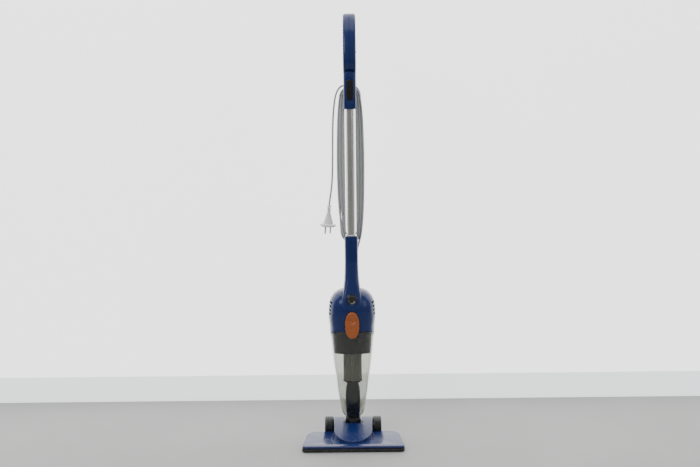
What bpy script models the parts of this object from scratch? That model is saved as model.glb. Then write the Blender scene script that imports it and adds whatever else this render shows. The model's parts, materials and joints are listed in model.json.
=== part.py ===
"""Corded upright stick vacuum cleaner, built from separate pieces.

Frame: metres, +Z up, the front towards -Y. X = 0 is the middle plane and the
upright tube stands on the Z axis, over the rear glide bar of the floor head.
Pieces are stacked from the floor up, so each height below follows from the
ones under it.
"""

import math

import bmesh
import bpy
from mathutils import Matrix, Vector

# ---------------------------------------------------------------- sizes
GAP = 0.0003            # between pieces that touch
RUN = 0.0004            # round a piece that slides or turns

# Floor head
HEAD_WIDTH = 0.267
HEAD_DEPTH = 0.104
HEAD_FRONT_Y = -0.091
HEAD_TAPER = 0.013      # how much each side closes in towards the back
HEAD_WALL = 0.0024
SOLE_Z = 0.004          # underside of the sole plate
SOLE_THICK = 0.0024
SKIRT_TOP_Z = 0.0090
HEAD_EDGE_Z = 0.0160    # top surface at the front edge
HEAD_RISE = 0.0048      # top surface climbs this much to the back
MOUTH_DEPTH = 0.022
MOUTH_Y = -0.055
GLIDE_DEPTH = 0.010

# Yoke, wheels and tilting elbow
WHEEL_RADIUS = 0.0262
WHEEL_WIDTH = 0.0240
WHEEL_X = 0.0633        # middle of each wheel
AXLE_RADIUS = 0.003
HINGE_Y = 0.038
YOKE_HALF = 0.0498
YOKE_FRONT_Y = -0.0690
YOKE_BACK_Y = 0.050
YOKE_FRONT_Z = 0.0205
YOKE_BACK_Z = 0.0480
YOKE_CROWN = 1.7        # 1 is a straight ramp, and more bows the crown upwards
ELBOW_RADIUS = 0.0200
ELBOW_WALL = 0.0023
BARREL_RADIUS = 0.0185
BARREL_HALF = 0.0216
NECK_Y = 0.0325          # axis of the elbow's tube and of the cup's nozzle
ELBOW_RISE = 0.0298     # top of the elbow above the hinge

# Dust cup and filter
CUP_HEIGHT = 0.2296
CUP_WALL = 0.0020
DUCT_WALL = 0.0020
DUCT_DEPTH = 0.0225     # how deep the nozzle goes into the elbow
DUCT_RISE = 0.0857      # top of the duct above the cup's bottom
FRAME_DEPTH = 0.0443     # height of the filter frame's collar
MEDIA_RADIUS = 0.0240
MEDIA_HEIGHT = 0.0726
PLEATS = 16

# Motor unit
BODY_HALF = 0.0608      # half of the widest body width
BODY_DEPTH = 0.0580     # from the body's axis to its front
BODY_Y = 0.008          # axis of the body and of the motor
SEAM_SLOPE = 0.344      # how fast the seam between cup and housing climbs to the front
HOUSING_HEIGHT = 0.1181
HOUSING_WALL = 0.0025
FAN_RADIUS = 0.044
MOTOR_RADIUS = 0.034
MOTOR_HEIGHT = 0.0415
SHAFT_RADIUS = 0.0025
SOCKET_HEIGHT = 0.1405   # from the housing's top to the top of the tube socket
SOCKET_TONGUE = 0.0455  # how far its front tongue lies down the dome
SOCKET_WALL = 0.0026
BUTTON_RADIUS = 0.0131
BUTTON_TILT = math.radians(13)
LATCH_HALF = 0.0184
LATCH_HALF_HEIGHT = 0.0348
LATCH_OPENING = 0.0008  # clearance round the latch lever
VENT_COUNT = 4
VENT_PITCH = 0.0098
VENT_HEIGHT = 0.0046
VENT_LENGTH = 0.026

# Tube and handle
TUBE_RADIUS = 0.011
TUBE_WALL = 0.0012
TUBE_SHOWS = 0.3227     # length of bare tube between socket and handle
TUBE_GRIPPED = 0.0700   # length inside the socket
TUBE_IN_HANDLE = 0.0526
HANDLE_HALF = 0.0162
HANDLE_HEIGHT = 0.0933
GRIP_LONG = 0.0722      # half length of the grip loop, along its centreline
GRIP_SHORT = 0.0375
GRIP_BAR = 0.012        # half thickness of the loop's bar
GRIP_HALF = 0.0170      # half width of the loop's bar
GRIP_WALL = 0.0022
GRIP_LEAN = math.radians(24)
INSET_HALF = 0.0088     # handle release button
INSET_HALF_HEIGHT = 0.0259
INSET_RISE = 0.0474     # its middle above the handle's lower end

# Cord, hooks and plug
CORD_RADIUS = 0.0025
HOOK_RADIUS = 0.0118
WIND_FRONT_Y = 0.0225
WIND_BACK_Y = 0.0398
WIND_HALF = 0.0350

# Facets round a turned piece, by size
FINE = 28
MIDDLE = 20
SMALL = 12

# ---------------------------------------------------------------- heights
HINGE_Z = WHEEL_RADIUS
ELBOW_TOP = HINGE_Z + ELBOW_RISE
CUP_Z = ELBOW_TOP + 0.0015
SEAM_Z = CUP_Z + CUP_HEIGHT
HOUSING_Z = SEAM_Z + GAP
HOUSING_TOP = HOUSING_Z + HOUSING_HEIGHT
SOCKET_TOP = HOUSING_TOP + SOCKET_HEIGHT
HANDLE_Z = SOCKET_TOP + TUBE_SHOWS
HANDLE_TOP = HANDLE_Z + HANDLE_HEIGHT
LATCH_Z = SEAM_Z + 0.0353
LATCH_PIVOT_Z = LATCH_Z + 0.0060
BUTTON_Z = HOUSING_TOP - 0.0175
LOWER_HOOK_Z = SOCKET_TOP + 0.0055
UPPER_HOOK_Z = HANDLE_Z + 0.0295
BODY_FRONT_Y = BODY_Y - BODY_DEPTH
HEAD_BACK_Y = HEAD_FRONT_Y + HEAD_DEPTH
GRIP_Y = GRIP_SHORT + 0.0020
GRIP_Z = HANDLE_TOP + GRIP_LONG - 0.0062

# Cup outline from its bottom up: share of the height, half width and depth as shares of
# the way from the nozzle's hole to the widest body, centre in Y as a share of the way
# from the nozzle's axis to the body's axis.
CUP_SHAPE = (
    (0.000, 0.000, 0.000, 0.00),
    (0.020, 0.107, 0.109, 0.03),
    (0.060, 0.231, 0.239, 0.09),
    (0.130, 0.312, 0.322, 0.20),
    (0.200, 0.361, 0.375, 0.30),
    (0.350, 0.482, 0.487, 0.48),
    (0.490, 0.569, 0.570, 0.64),
    (0.630, 0.686, 0.683, 0.77),
    (0.770, 0.785, 0.789, 0.88),
    (0.915, 0.860, 0.872, 0.96),
    (1.000, 0.912, 0.932, 1.00),
)
# Dome outline from the seam up: half width and depth as shares of the widest body.
HOUSING_SHAPE = (
    (0.000, 0.946, 0.960, 1.0),
    (0.190, 0.957, 0.970, 1.0),
    (0.320, 0.987, 0.990, 1.0),
    (0.450, 1.000, 1.000, 1.0),
    (0.660, 0.977, 0.975, 1.0),
    (0.790, 0.917, 0.905, 1.0),
    (0.905, 0.767, 0.740, 1.0),
    (0.970, 0.598, 0.560, 1.0),
    (1.000, 0.440, 0.400, 1.0),
)
# Tube socket: share of its length below its top, half width, front and back as Y.
SOCKET_SHAPE = (
    (1.000, 0.0070, -0.0504, 0.0300),
    (0.995, 0.0130, -0.0504, 0.0300),
    (0.981, 0.0196, -0.0503, 0.0300),
    (0.954, 0.0244, -0.0498, 0.0300),
    (0.914, 0.0260, -0.0481, 0.0300),
    (0.860, 0.0256, -0.0450, 0.0300),
    (0.796, 0.0240, -0.0412, 0.0290),
    (0.726, 0.0218, -0.0368, 0.0270),
    (0.645, 0.0200, -0.0322, 0.0240),
    (0.565, 0.0188, -0.0280, 0.0215),
    (0.457, 0.0178, -0.0232, 0.0192),
    (0.323, 0.0172, -0.0192, 0.0180),
    (0.000, 0.0174, -0.0175, 0.0175),
)

# ---------------------------------------------------------------- finishes
BLUE = ("blue_gloss_plastic", (0.012, 0.032, 0.135), 0.22, 0.0)
BLACK = ("black_plastic", (0.012, 0.012, 0.013), 0.35, 0.0)
SMOKE = ("smoked_clear_plastic", (0.060, 0.062, 0.055), 0.10, 0.0)
ORANGE = ("orange_plastic", (0.420, 0.100, 0.018), 0.35, 0.0)
STEEL = ("brushed_steel", (0.55, 0.54, 0.52), 0.28, 1.0)
RUBBER = ("black_rubber", (0.020, 0.020, 0.020), 0.80, 0.0)
MEDIA = ("filter_media", (0.62, 0.62, 0.58), 0.90, 0.0)
COPPER = ("copper_windings", (0.45, 0.16, 0.06), 0.40, 1.0)
CORD_GREY = ("grey_cord", (0.40, 0.41, 0.41), 0.55, 0.0)
PLUG_WHITE = ("white_plug", (0.72, 0.73, 0.72), 0.45, 0.0)
BRISTLE = ("bristle", (0.05, 0.05, 0.05), 0.90, 0.0)


# ---------------------------------------------------------------- tools
def clear_scene():
    for thing in list(bpy.data.objects):
        bpy.data.objects.remove(thing)


def finish_of(finish):
    name, colour, roughness, metallic = finish
    made = bpy.data.materials.get(name)
    if made is None:
        made = bpy.data.materials.new(name)
        made.use_nodes = True
        shader = made.node_tree.nodes["Principled BSDF"]
        shader.inputs["Base Color"].default_value = (*colour, 1.0)
        shader.inputs["Roughness"].default_value = roughness
        shader.inputs["Metallic"].default_value = metallic
    return made


def piece(name, bm, finish, place=(0, 0, 0), turn=None):
    """Makes an object of a bmesh, with its faces pointing out, at a place and a rotation."""
    bmesh.ops.recalc_face_normals(bm, faces=bm.faces)
    mesh = bpy.data.meshes.new(name)
    bm.to_mesh(mesh)
    bm.free()
    mesh.shade_smooth()
    mesh.set_sharp_from_angle(angle=math.radians(35))
    made = bpy.data.objects.new(name, mesh)
    made.location = place
    if turn is not None:
        made.rotation_euler = turn.to_euler()
    bpy.context.scene.collection.objects.link(made)
    made.data.materials.append(finish_of(finish))
    return made


def seated(made, spot):
    """Puts a piece's origin at a spot, such as its joint's axis, and leaves its shape where it is."""
    made.data.transform(Matrix.Translation(-Vector(spot)))
    made.location = spot
    return made


def skin(rows, ring_closed=False, capped=True):
    """A surface through rows of points. A closed run of rows makes a pipe wall; open ones are capped."""
    bm = bmesh.new()
    lines = [[bm.verts.new(p) for p in row] for row in rows]
    pairs = list(zip(lines, lines[1:]))
    if ring_closed:
        pairs.append((lines[-1], lines[0]))
    for low, high in pairs:
        for i in range(len(low)):
            j = (i + 1) % len(low)
            bm.faces.new((low[i], low[j], high[j], high[i]))
    if capped and not ring_closed:
        bm.faces.new(lines[0])
        bm.faces.new(lines[-1])
    return bm


def circle(radius, z, sides, centre=(0.0, 0.0)):
    return [
        (
            centre[0] + radius * math.cos(2 * math.pi * i / sides),
            centre[1] + radius * math.sin(2 * math.pi * i / sides),
            z,
        )
        for i in range(sides)
    ]


def turned(profile, sides, bored=True):
    """A turned shape about Z. A bored profile is a closed outline of (radius, z), a solid one is open."""
    return skin([circle(r, z, sides) for r, z in profile], ring_closed=bored)


def rod(radius, length, sides=SMALL):
    return turned([(radius, -length / 2), (radius, length / 2)], sides, bored=False)


def block(low, high):
    bm = bmesh.new()
    bmesh.ops.create_cube(bm, size=1.0)
    size = Vector(high) - Vector(low)
    middle = (Vector(high) + Vector(low)) / 2
    bmesh.ops.scale(bm, vec=size, verts=bm.verts)
    bmesh.ops.translate(bm, vec=middle, verts=bm.verts)
    return bm


def boolean(target, operation, *others):
    """Joins, cuts or crosses the target with other objects, which then only guide it."""
    for other in others:
        other.hide_render = True
        other.display_type = "WIRE"
        change = target.modifiers.new(operation.lower(), "BOOLEAN")
        change.operation = operation
        change.object = other
        change.solver = "EXACT"
    return target


def cut(target, *others):
    return boolean(target, "DIFFERENCE", *others)


def join(target, *others):
    return boolean(target, "UNION", *others)


def rounded_outline(corners, radii, inset=0.0, steps=5):
    """Points round a convex outline, inset by a distance, with an arc at each corner."""
    count = len(corners)
    lines = []
    for i in range(count):
        a, b = Vector(corners[i]), Vector(corners[(i + 1) % count])
        along = (b - a).normalized()
        lines.append((a + Vector((-along.y, along.x)) * inset, along))
    points = []
    for i in range(count):
        (p, u), (q, v) = lines[i - 1], lines[i]
        across = u.x * v.y - u.y * v.x
        reach = ((q - p).x * v.y - (q - p).y * v.x) / across
        corner = p + u * reach
        radius = max(radii[i] - inset, 0.0008)
        turn = math.atan2(across, u.dot(v))
        back = radius * math.tan(turn / 2)
        centre = corner - u * back + Vector((-u.y, u.x)) * radius
        start = math.atan2(-u.x, u.y)
        for k in range(steps + 1):
            angle = start + turn * k / steps
            points.append((centre.x + radius * math.cos(angle), centre.y + radius * math.sin(angle)))
    return points


def oval(half_width, front, back, centre_y, z, power=2.6, sides=FINE):
    """A rounded outline round the body: flatter than an ellipse at the front, back and sides."""
    points = []
    for i in range(sides):
        angle = 2 * math.pi * i / sides
        c, s = math.cos(angle), math.sin(angle)
        depth = back if s > 0 else front
        x = half_width * math.copysign(abs(c) ** (2 / power), c)
        y = centre_y + depth * math.copysign(abs(s) ** (2 / power), s)
        points.append((x, y, z))
    return points


def between(table, at):
    """The row of a table at a value of its first column, by straight lines."""
    if at <= table[0][0]:
        return table[0][1:]
    for low, high in zip(table, table[1:]):
        if at <= high[0]:
            t = (at - low[0]) / (high[0] - low[0])
            return tuple(a + (b - a) * t for a, b in zip(low[1:], high[1:]))
    return table[-1][1:]


def sloped(points, share):
    """The points with their heights climbing to the front by a share of the seam's slope."""
    return [(x, y, z + SEAM_SLOPE * share * (BODY_Y - y)) for x, y, z in points]


def cup_row(z, inset=0.0):
    """A level of the cup. Near its mouth the rows lean as the seam does."""
    up = min(1.0, (z - CUP_Z) / CUP_HEIGHT)
    wide, deep, shift = between(CUP_SHAPE, up)
    hole = ELBOW_RADIUS - ELBOW_WALL - RUN + CUP_WALL + 2 * GAP
    half = hole + (BODY_HALF - hole) * wide - inset
    deep = hole + (BODY_DEPTH - hole) * deep - inset
    centre = NECK_Y + (BODY_Y - NECK_Y) * shift
    power = 2.0 + 0.6 * min(1.0, 3 * shift)
    return sloped(oval(half, deep, deep, centre, z, power), up**3)


def cup_heights(low, high):
    """The heights of a wall that follows the cup: its ends and each row of the cup's shape between them."""
    rows = [CUP_Z + row[0] * CUP_HEIGHT for row in CUP_SHAPE]
    return [low] + [z for z in rows if low + 0.001 < z < high - 0.001] + [high]


def housing_row(z, inset=0.0):
    up = max(0.0, (z - HOUSING_Z) / HOUSING_HEIGHT)
    half, depth, _ = between(HOUSING_SHAPE, up)
    deep = depth * BODY_DEPTH - inset
    return sloped(oval(half * BODY_HALF - inset, deep, deep, BODY_Y, z), max(0.0, 1 - up) ** 2)


def housing_rows(inset, top_drop):
    rows = [
        housing_row(HOUSING_Z + share * (HOUSING_HEIGHT - top_drop), inset)
        for share, *_ in HOUSING_SHAPE[:-1]
    ]
    return rows + [housing_row_at_top(inset, HOUSING_TOP - top_drop)]


def housing_row_at_top(inset, z):
    half, depth, _ = HOUSING_SHAPE[-1][1:]
    return oval(half * BODY_HALF - inset, depth * BODY_DEPTH - inset, depth * BODY_DEPTH - inset, BODY_Y, z)


SOCKET_LENGTH = SOCKET_HEIGHT + SOCKET_TONGUE
SOCKET_DROPS = [share * SOCKET_LENGTH for share, *_ in SOCKET_SHAPE]


def socket_row(drop, inset=0.0, z=None):
    """A level of the socket. Its tongue has squarer corners, so that its edges stand off the dome."""
    share = drop / SOCKET_LENGTH
    half, front, back = between(sorted(SOCKET_SHAPE), share)
    power = 3.4 + 4.6 * min(1.0, max(0.0, (share - 0.60) / 0.25))
    middle = (front + back) / 2
    deep = (back - front) / 2 - inset
    height = SOCKET_TOP - drop if z is None else z
    return oval(half - inset, deep, deep, middle, height, power)


def socket_front_y(z):
    return between(sorted(SOCKET_SHAPE), (SOCKET_TOP - z) / SOCKET_LENGTH)[1]


def smooth_route(points, step):
    """Points a step apart along a smooth curve through the route's own points."""
    spots = [Vector(p) for p in points]
    ends = [spots[0] * 2 - spots[1]] + spots + [spots[-1] * 2 - spots[-2]]
    fine = []
    for a, b, c, d in zip(ends, ends[1:], ends[2:], ends[3:]):
        for k in range(12):
            t = k / 12
            curved = (2 * a - 5 * b + 4 * c - d) * t**2 + (3 * b - a - 3 * c + d) * t**3
            fine.append(0.5 * (2 * b + (c - a) * t + curved))
    fine.append(spots[-1])
    length = sum((q - p).length for p, q in zip(fine, fine[1:]))
    count = max(2, round(length / step))
    chosen, walked, k = [fine[0]], 0.0, 1
    for p, q in zip(fine, fine[1:]):
        run = (q - p).length
        while k < count and walked + run >= length * k / count:
            chosen.append(p.lerp(q, (length * k / count - walked) / run))
            k += 1
        walked += run
    return chosen + [fine[-1]]


def cord_tube(name, route):
    """A plain round tube along a route, closed at both ends."""
    points = smooth_route(route, 5 * CORD_RADIUS)
    line = bpy.data.curves.new(name, "CURVE")
    line.dimensions = "3D"
    spline = line.splines.new("POLY")
    spline.points.add(len(points) - 1)
    for spot, p in zip(spline.points, points):
        spot.co = (*p, 1.0)
    line.bevel_depth = CORD_RADIUS
    line.bevel_resolution = 2
    line.use_fill_caps = True
    made = bpy.data.objects.new(name, line)
    bpy.context.scene.collection.objects.link(made)
    line.materials.append(finish_of(CORD_GREY))
    return made


def spring(name, start, end, radius, wire, turns):
    """A coil spring of round wire from one point to another."""
    start, end = Vector(start), Vector(end)
    along = (end - start).normalized()
    side = along.orthogonal().normalized()
    other = along.cross(side)
    per_turn, sides = 8, 4
    rows = []
    steps = turns * per_turn
    length = (end - start).length - 2 * wire
    for i in range(steps + 1):
        angle = 2 * math.pi * i / per_turn
        out = side * math.cos(angle) + other * math.sin(angle)
        middle = start + along * (wire + length * i / steps) + out * radius
        turns_of_wire = [2 * math.pi * k / sides for k in range(sides)]
        rows.append([middle + (out * math.cos(a) + along * math.sin(a)) * wire for a in turns_of_wire])
    return piece(name, skin(rows), STEEL)


ALONG_X = Matrix.Rotation(math.radians(90), 3, "Y")
FACING_FRONT = Matrix.Rotation(math.radians(90), 3, "X")


# ---------------------------------------------------------------- floor head
def head_outline(inset, steps=5):
    half, back = HEAD_WIDTH / 2, HEAD_WIDTH / 2 - HEAD_TAPER
    corners = [(-half, HEAD_FRONT_Y), (half, HEAD_FRONT_Y), (back, HEAD_BACK_Y), (-back, HEAD_BACK_Y)]
    return rounded_outline(corners, [0.013, 0.013, 0.024, 0.024], inset, steps)


def head_row(inset, z, sloped=True):
    rise = HEAD_RISE if sloped else 0.0
    return [(x, y, z + rise * (y - HEAD_FRONT_Y) / HEAD_DEPTH) for x, y in head_outline(inset)]


def yoke_outline(grow=0.0):
    """A half round front and a square back with rounded corners."""
    radius = YOKE_HALF + grow
    centre_y = YOKE_FRONT_Y + YOKE_HALF
    points = []
    for k in range(17):
        angle = math.pi + math.pi * k / 16
        points.append((radius * math.cos(angle), centre_y + radius * math.sin(angle)))
    corner = 0.006
    back = YOKE_BACK_Y + grow
    for side, start in ((1, 0.0), (-1, math.pi / 2)):
        for k in range(4):
            angle = start + math.pi / 2 * k / 3
            x = side * (radius - corner) + corner * math.cos(angle)
            points.append((x, back - corner + corner * math.sin(angle)))
    return points


def yoke_top_z(y):
    """The crown climbs fast behind the front and flattens towards the back."""
    left = max(0.0, (YOKE_BACK_Y - y) / (YOKE_BACK_Y - YOKE_FRONT_Y))
    return YOKE_BACK_Z - (YOKE_BACK_Z - YOKE_FRONT_Z) * min(1.0, left) ** YOKE_CROWN


def under_crown(name, grow, low, steps=14):
    """All that lies under the yoke's crown, within its outline grown by a distance."""
    outline = skin([[(x, y, z) for x, y in yoke_outline(grow)] for z in (low, YOKE_BACK_Z + 0.02)])
    body = piece(name, outline, BLUE)
    ys = [YOKE_FRONT_Y - 0.01 + (YOKE_BACK_Y - YOKE_FRONT_Y + 0.02) * k / steps for k in range(steps + 1)]
    side = [(ys[-1], low - 0.01), (ys[0], low - 0.01)] + [(y, yoke_top_z(y) + min(0.0, grow)) for y in ys]
    crown = skin([[(x, y, z) for y, z in side] for x in (-2 * YOKE_HALF, 2 * YOKE_HALF)])
    return boolean(body, "INTERSECT", piece(f"{name}_crown", crown, BLUE))


def make_head_base():
    """The sole: a plate with the suction mouth, two glide bars and a tongue under the yoke."""
    inset = 0.0045
    plate_top = SOLE_Z + SOLE_THICK
    plate = skin([[(x, y, z) for x, y in head_outline(inset)] for z in (SOLE_Z, plate_top)])
    base = piece("head_base", plate, BLACK)
    tongue_half = YOKE_HALF - 0.004
    tongue = block((-tongue_half, HEAD_BACK_Y - 0.02, SOLE_Z), (tongue_half, YOKE_BACK_Y, plate_top))
    bar_half = HEAD_WIDTH / 2 - 0.035
    join(base, piece("sole_tongue", tongue, BLACK))
    for name, y in (("rear", 0.0), ("front", HEAD_FRONT_Y + GLIDE_DEPTH + 0.0005)):
        low = (-bar_half, y - GLIDE_DEPTH / 2, 0.0)
        high = (bar_half, y + GLIDE_DEPTH / 2, SOLE_Z + SOLE_THICK / 2)
        join(base, piece(f"glide_{name}", block(low, high), BLACK))
    mouth_half = HEAD_WIDTH / 2 - 0.022
    mouth = block(
        (-mouth_half, MOUTH_Y - MOUTH_DEPTH / 2, -0.01),
        (mouth_half, MOUTH_Y + MOUTH_DEPTH / 2, 0.02),
    )
    cut(base, piece("mouth_cutter", mouth, BLACK))
    for side in (-1, 1):
        spot = (side * sole_screw_x(), sole_screw_y(), 0)
        cut(base, piece(f"screw_hole_{side}", rod(0.0022, 0.03), BLACK, spot))
    return base


def sole_screw_x():
    return HEAD_WIDTH / 2 - 0.030


def sole_screw_y():
    return MOUTH_Y + MOUTH_DEPTH / 2 + 0.014


def make_sole_screws():
    for name, side in (("sole_screw_left", -1), ("sole_screw_right", 1)):
        head, shank = 0.0034, 0.0018
        top = SOLE_Z + SOLE_THICK + 0.0040
        profile = [(head, SOLE_Z - 0.0016), (head, SOLE_Z - GAP), (shank, SOLE_Z - GAP), (shank, top)]
        screw = turned(profile, 10, bored=False)
        piece(name, screw, STEEL, (side * sole_screw_x(), sole_screw_y(), 0))


def make_brush_strips():
    half = HEAD_WIDTH / 2 - 0.026
    for name, side in (("brush_strip_front", -1), ("brush_strip_rear", 1)):
        y = MOUTH_Y + side * (MOUTH_DEPTH / 2 + 0.004)
        strip = block((-half, y - 0.002, 0.0005), (half, y + 0.002, SOLE_Z - GAP))
        piece(name, strip, BRISTLE)


def make_bumper_strip():
    """The soft skirt round the front and sides, open where the yoke passes."""
    low, high = 0.0012, SKIRT_TOP_Z
    inner = 0.0045 - GAP
    rows = [
        [(x, y, low) for x, y in head_outline(0.0012)],
        [(x, y, low + 0.002) for x, y in head_outline(0.0)],
        [(x, y, high) for x, y in head_outline(0.0)],
        [(x, y, high) for x, y in head_outline(inner)],
        [(x, y, low) for x, y in head_outline(inner)],
    ]
    strip = piece("bumper_strip", skin(rows, ring_closed=True), RUBBER)
    half = YOKE_HALF + 0.002
    opening = block((-half, HEAD_BACK_Y - 0.02, -0.01), (half, HEAD_BACK_Y + 0.02, 0.05))
    return cut(strip, piece("bumper_cutter", opening, RUBBER))


def make_head_top_shell():
    low = SKIRT_TOP_Z + GAP
    edge, wall = HEAD_EDGE_Z, HEAD_WALL
    outer = [
        head_row(0.0008, low, sloped=False),
        head_row(0.0006, low + 0.0035, sloped=False),
        head_row(0.0020, edge - 0.0012),
        head_row(0.0055, edge),
    ]
    inner = [
        head_row(0.0008 + wall, low, sloped=False),
        head_row(0.0006 + wall, low + 0.0030, sloped=False),
        head_row(0.0055 + wall / 2, edge - wall),
    ]
    shell = piece("head_top_shell", skin(inner[::-1] + outer), BLUE)
    hole = skin([[(x, y, z) for x, y in yoke_outline(RUN)] for z in (-0.01, 0.08)])
    cut(shell, piece("yoke_hole_cutter", hole, BLUE))
    for side in (-1, 1):
        well = rod(WHEEL_RADIUS + 0.0025, WHEEL_WIDTH + 0.0060, 24)
        cut(shell, piece(f"wheel_well_{side}", well, BLUE, (side * WHEEL_X, HINGE_Y, HINGE_Z), ALONG_X))
    return shell


def make_yoke_cover():
    """The raised centre of the head: a U shaped cover whose cheeks carry the axles and the elbow."""
    wall = HEAD_WALL
    low = SOLE_Z + SOLE_THICK + GAP
    cover = cut(under_crown("yoke_cover", 0.0, low), under_crown("yoke_hollow", -wall, low - 0.01))
    slot_half = BARREL_HALF + 0.0006
    front = NECK_Y - ELBOW_RADIUS - 0.0025
    for side in (-1, 1):
        outline = [
            (front - 0.002, low),
            (YOKE_BACK_Y - wall / 2, low),
            (YOKE_BACK_Y - wall / 2, yoke_top_z(YOKE_BACK_Y) - wall / 2),
            (front - 0.002, yoke_top_z(front) - wall / 2),
        ]
        xs = [side * (slot_half - 0.002), side * (slot_half + 0.0032)]
        cheek = skin([[(x, y, z) for y, z in outline] for x in xs])
        join(cover, piece(f"cheek_{side}", cheek, BLUE))
    slot = block((-slot_half, front, -0.01), (slot_half, YOKE_BACK_Y + 0.02, 0.1))
    axle_hole = rod(AXLE_RADIUS + GAP, 4 * YOKE_HALF, SMALL)
    cut(cover, piece("slot_cutter", slot, BLUE))
    cut(cover, piece("axle_cutter", axle_hole, BLUE, (0, HINGE_Y, HINGE_Z), ALONG_X))
    return cover


def make_wheels():
    """On each side a stub axle, a dished hub and a tyre."""
    hub_radius = WHEEL_RADIUS - 0.0045
    half = WHEEL_WIDTH / 2
    bore = AXLE_RADIUS + GAP
    hub = [
        (bore, -half + 0.001),
        (hub_radius, -half + 0.001),
        (hub_radius, half - 0.001),
        (hub_radius - 0.003, half - 0.001),
        (hub_radius - 0.0045, half - 0.0035),
        (bore + 0.004, half - 0.0035),
        (bore + 0.0025, half - 0.0012),
        (bore, half - 0.0012),
    ]
    tread = WHEEL_RADIUS
    tyre = [
        (hub_radius + 2 * GAP, -half + 0.0005),
        (tread - 0.0013, -half),
        (tread, -half + 0.0022),
        (tread, half - 0.0022),
        (tread - 0.0013, half),
        (hub_radius + 2 * GAP, half - 0.0005),
    ]
    inner_end = BARREL_HALF - ELBOW_WALL + 0.0004
    outer_end = WHEEL_X + half - 0.0020
    for name, side in (("left", -1), ("right", 1)):
        facing = Matrix.Rotation(math.radians(90 * side), 3, "Y")
        spot = (side * WHEEL_X, HINGE_Y, HINGE_Z)
        piece(f"wheel_{name}", turned(hub, MIDDLE), BLACK, spot, facing)
        piece(f"tyre_{name}", turned(tyre, 24), RUBBER, spot, facing)
        axle = rod(AXLE_RADIUS, outer_end - inner_end, SMALL)
        piece(f"axle_{name}", axle, STEEL, (side * (inner_end + outer_end) / 2, HINGE_Y, HINGE_Z), facing)


def make_elbow():
    """The tilting neck: a hollow barrel between the yoke's cheeks, with a socket for the cup's nozzle."""
    barrel = rod(BARREL_RADIUS, 2 * BARREL_HALF, 24)
    elbow = piece("elbow", barrel, BLACK, (0, HINGE_Y, HINGE_Z), ALONG_X)
    rise = [(ELBOW_RADIUS - 0.002, HINGE_Z), (ELBOW_RADIUS, HINGE_Z + 0.006), (ELBOW_RADIUS, ELBOW_TOP)]
    join(elbow, piece("elbow_tube", turned(rise, 24, bored=False), BLACK, (0, NECK_Y, 0)))
    inside = rod(BARREL_RADIUS - ELBOW_WALL, 2 * (BARREL_HALF - ELBOW_WALL), 24)
    clear = ELBOW_RADIUS - ELBOW_WALL
    bore = turned([(clear, HINGE_Z + 0.004), (clear, 0.1)], 24, bored=False)
    window = block((-0.015, HINGE_Y - 0.04, HINGE_Z - 0.04), (0.015, HINGE_Y, HINGE_Z - 0.003))
    pins = rod(AXLE_RADIUS + RUN, 4 * BARREL_HALF)
    cut(
        elbow,
        piece("barrel_inside", inside, BLACK, (0, HINGE_Y, HINGE_Z), ALONG_X),
        piece("elbow_bore", bore, BLACK, (0, NECK_Y, 0)),
        piece("elbow_window", window, BLACK),
        piece("elbow_pins", pins, BLACK, (0, HINGE_Y, HINGE_Z), ALONG_X),
    )
    return elbow


# ---------------------------------------------------------------- dust cup
def latch_row(inset, y):
    """The latch lever's outline at a depth, a little fuller than an ellipse."""
    half, tall = LATCH_HALF - inset, LATCH_HALF_HEIGHT - inset
    return [(x, y, LATCH_Z + z) for x, z, _ in oval(half, tall, tall, 0.0, 0.0, 2.25)]


def latch_cutter(name):
    """An oval prism from the front, a little bigger than the latch lever."""
    rows = [latch_row(-LATCH_OPENING, y) for y in (BODY_FRONT_Y - 0.02, BODY_FRONT_Y + 0.012)]
    return piece(name, skin(rows), ORANGE)


def make_cup_shell():
    heights = [CUP_Z + row[0] * CUP_HEIGHT for row in CUP_SHAPE]
    outer = [cup_row(z) for z in heights]
    inner = [cup_row(z, CUP_WALL) for z in heights]
    shell = piece("cup_shell", skin(outer + inner[::-1], ring_closed=True), SMOKE)
    return cut(shell, latch_cutter("cup_latch_notch"))


def duct_rows(inset):
    """The duct from its nozzle to its top: a round pipe that widens inside the cup."""
    nozzle = ELBOW_RADIUS - ELBOW_WALL - RUN
    low, top = ELBOW_TOP - DUCT_DEPTH, CUP_Z + DUCT_RISE + 0.010
    shape = (
        (low, nozzle, nozzle, 2.0),
        (CUP_Z + 0.0040, nozzle, nozzle, 2.0),
        (CUP_Z + 0.0130, nozzle + 0.0015, nozzle + 0.0003, 2.4),
        (CUP_Z + 0.0420, nozzle + 0.0022, nozzle - 0.0003, 2.8),
        (top, nozzle + 0.0010, nozzle - 0.0020, 3.0),
    )
    return [oval(a - inset, b - inset, b - inset, NECK_Y, z, power, MIDDLE) for z, a, b, power in shape]


# Y and Z of the duct's slanting mouth, at its top and bottom.
FLAP_TOP = (NECK_Y + 0.0145, CUP_Z + DUCT_RISE - 0.0005)
FLAP_LOW = (NECK_Y - 0.0195, CUP_Z + DUCT_RISE - 0.0420)


def across_mouth(name, half, low, high, finish, reach=0.0):
    """A plate along the duct's slanting mouth, from low to high off it, grown past its ends by reach."""
    top, bottom = Vector(FLAP_TOP), Vector(FLAP_LOW)
    along = (top - bottom).normalized()
    out = Vector((-along.y, along.x))
    corners = []
    for end, sign in ((bottom, -1), (top, 1)):
        for height in (low, high):
            corners.append(end + along * sign * reach + out * height)
    order = [corners[0], corners[1], corners[3], corners[2]]
    return piece(name, skin([[(x, y, z) for y, z in order] for x in (-half, half)]), finish)


def make_inlet_duct():
    duct = piece("inlet_duct", skin(duct_rows(0.0) + duct_rows(DUCT_WALL)[::-1], ring_closed=True), BLACK)
    return cut(duct, across_mouth("duct_mouth_cutter", 0.05, 0.0, 0.06, BLACK, reach=0.03))


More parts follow.
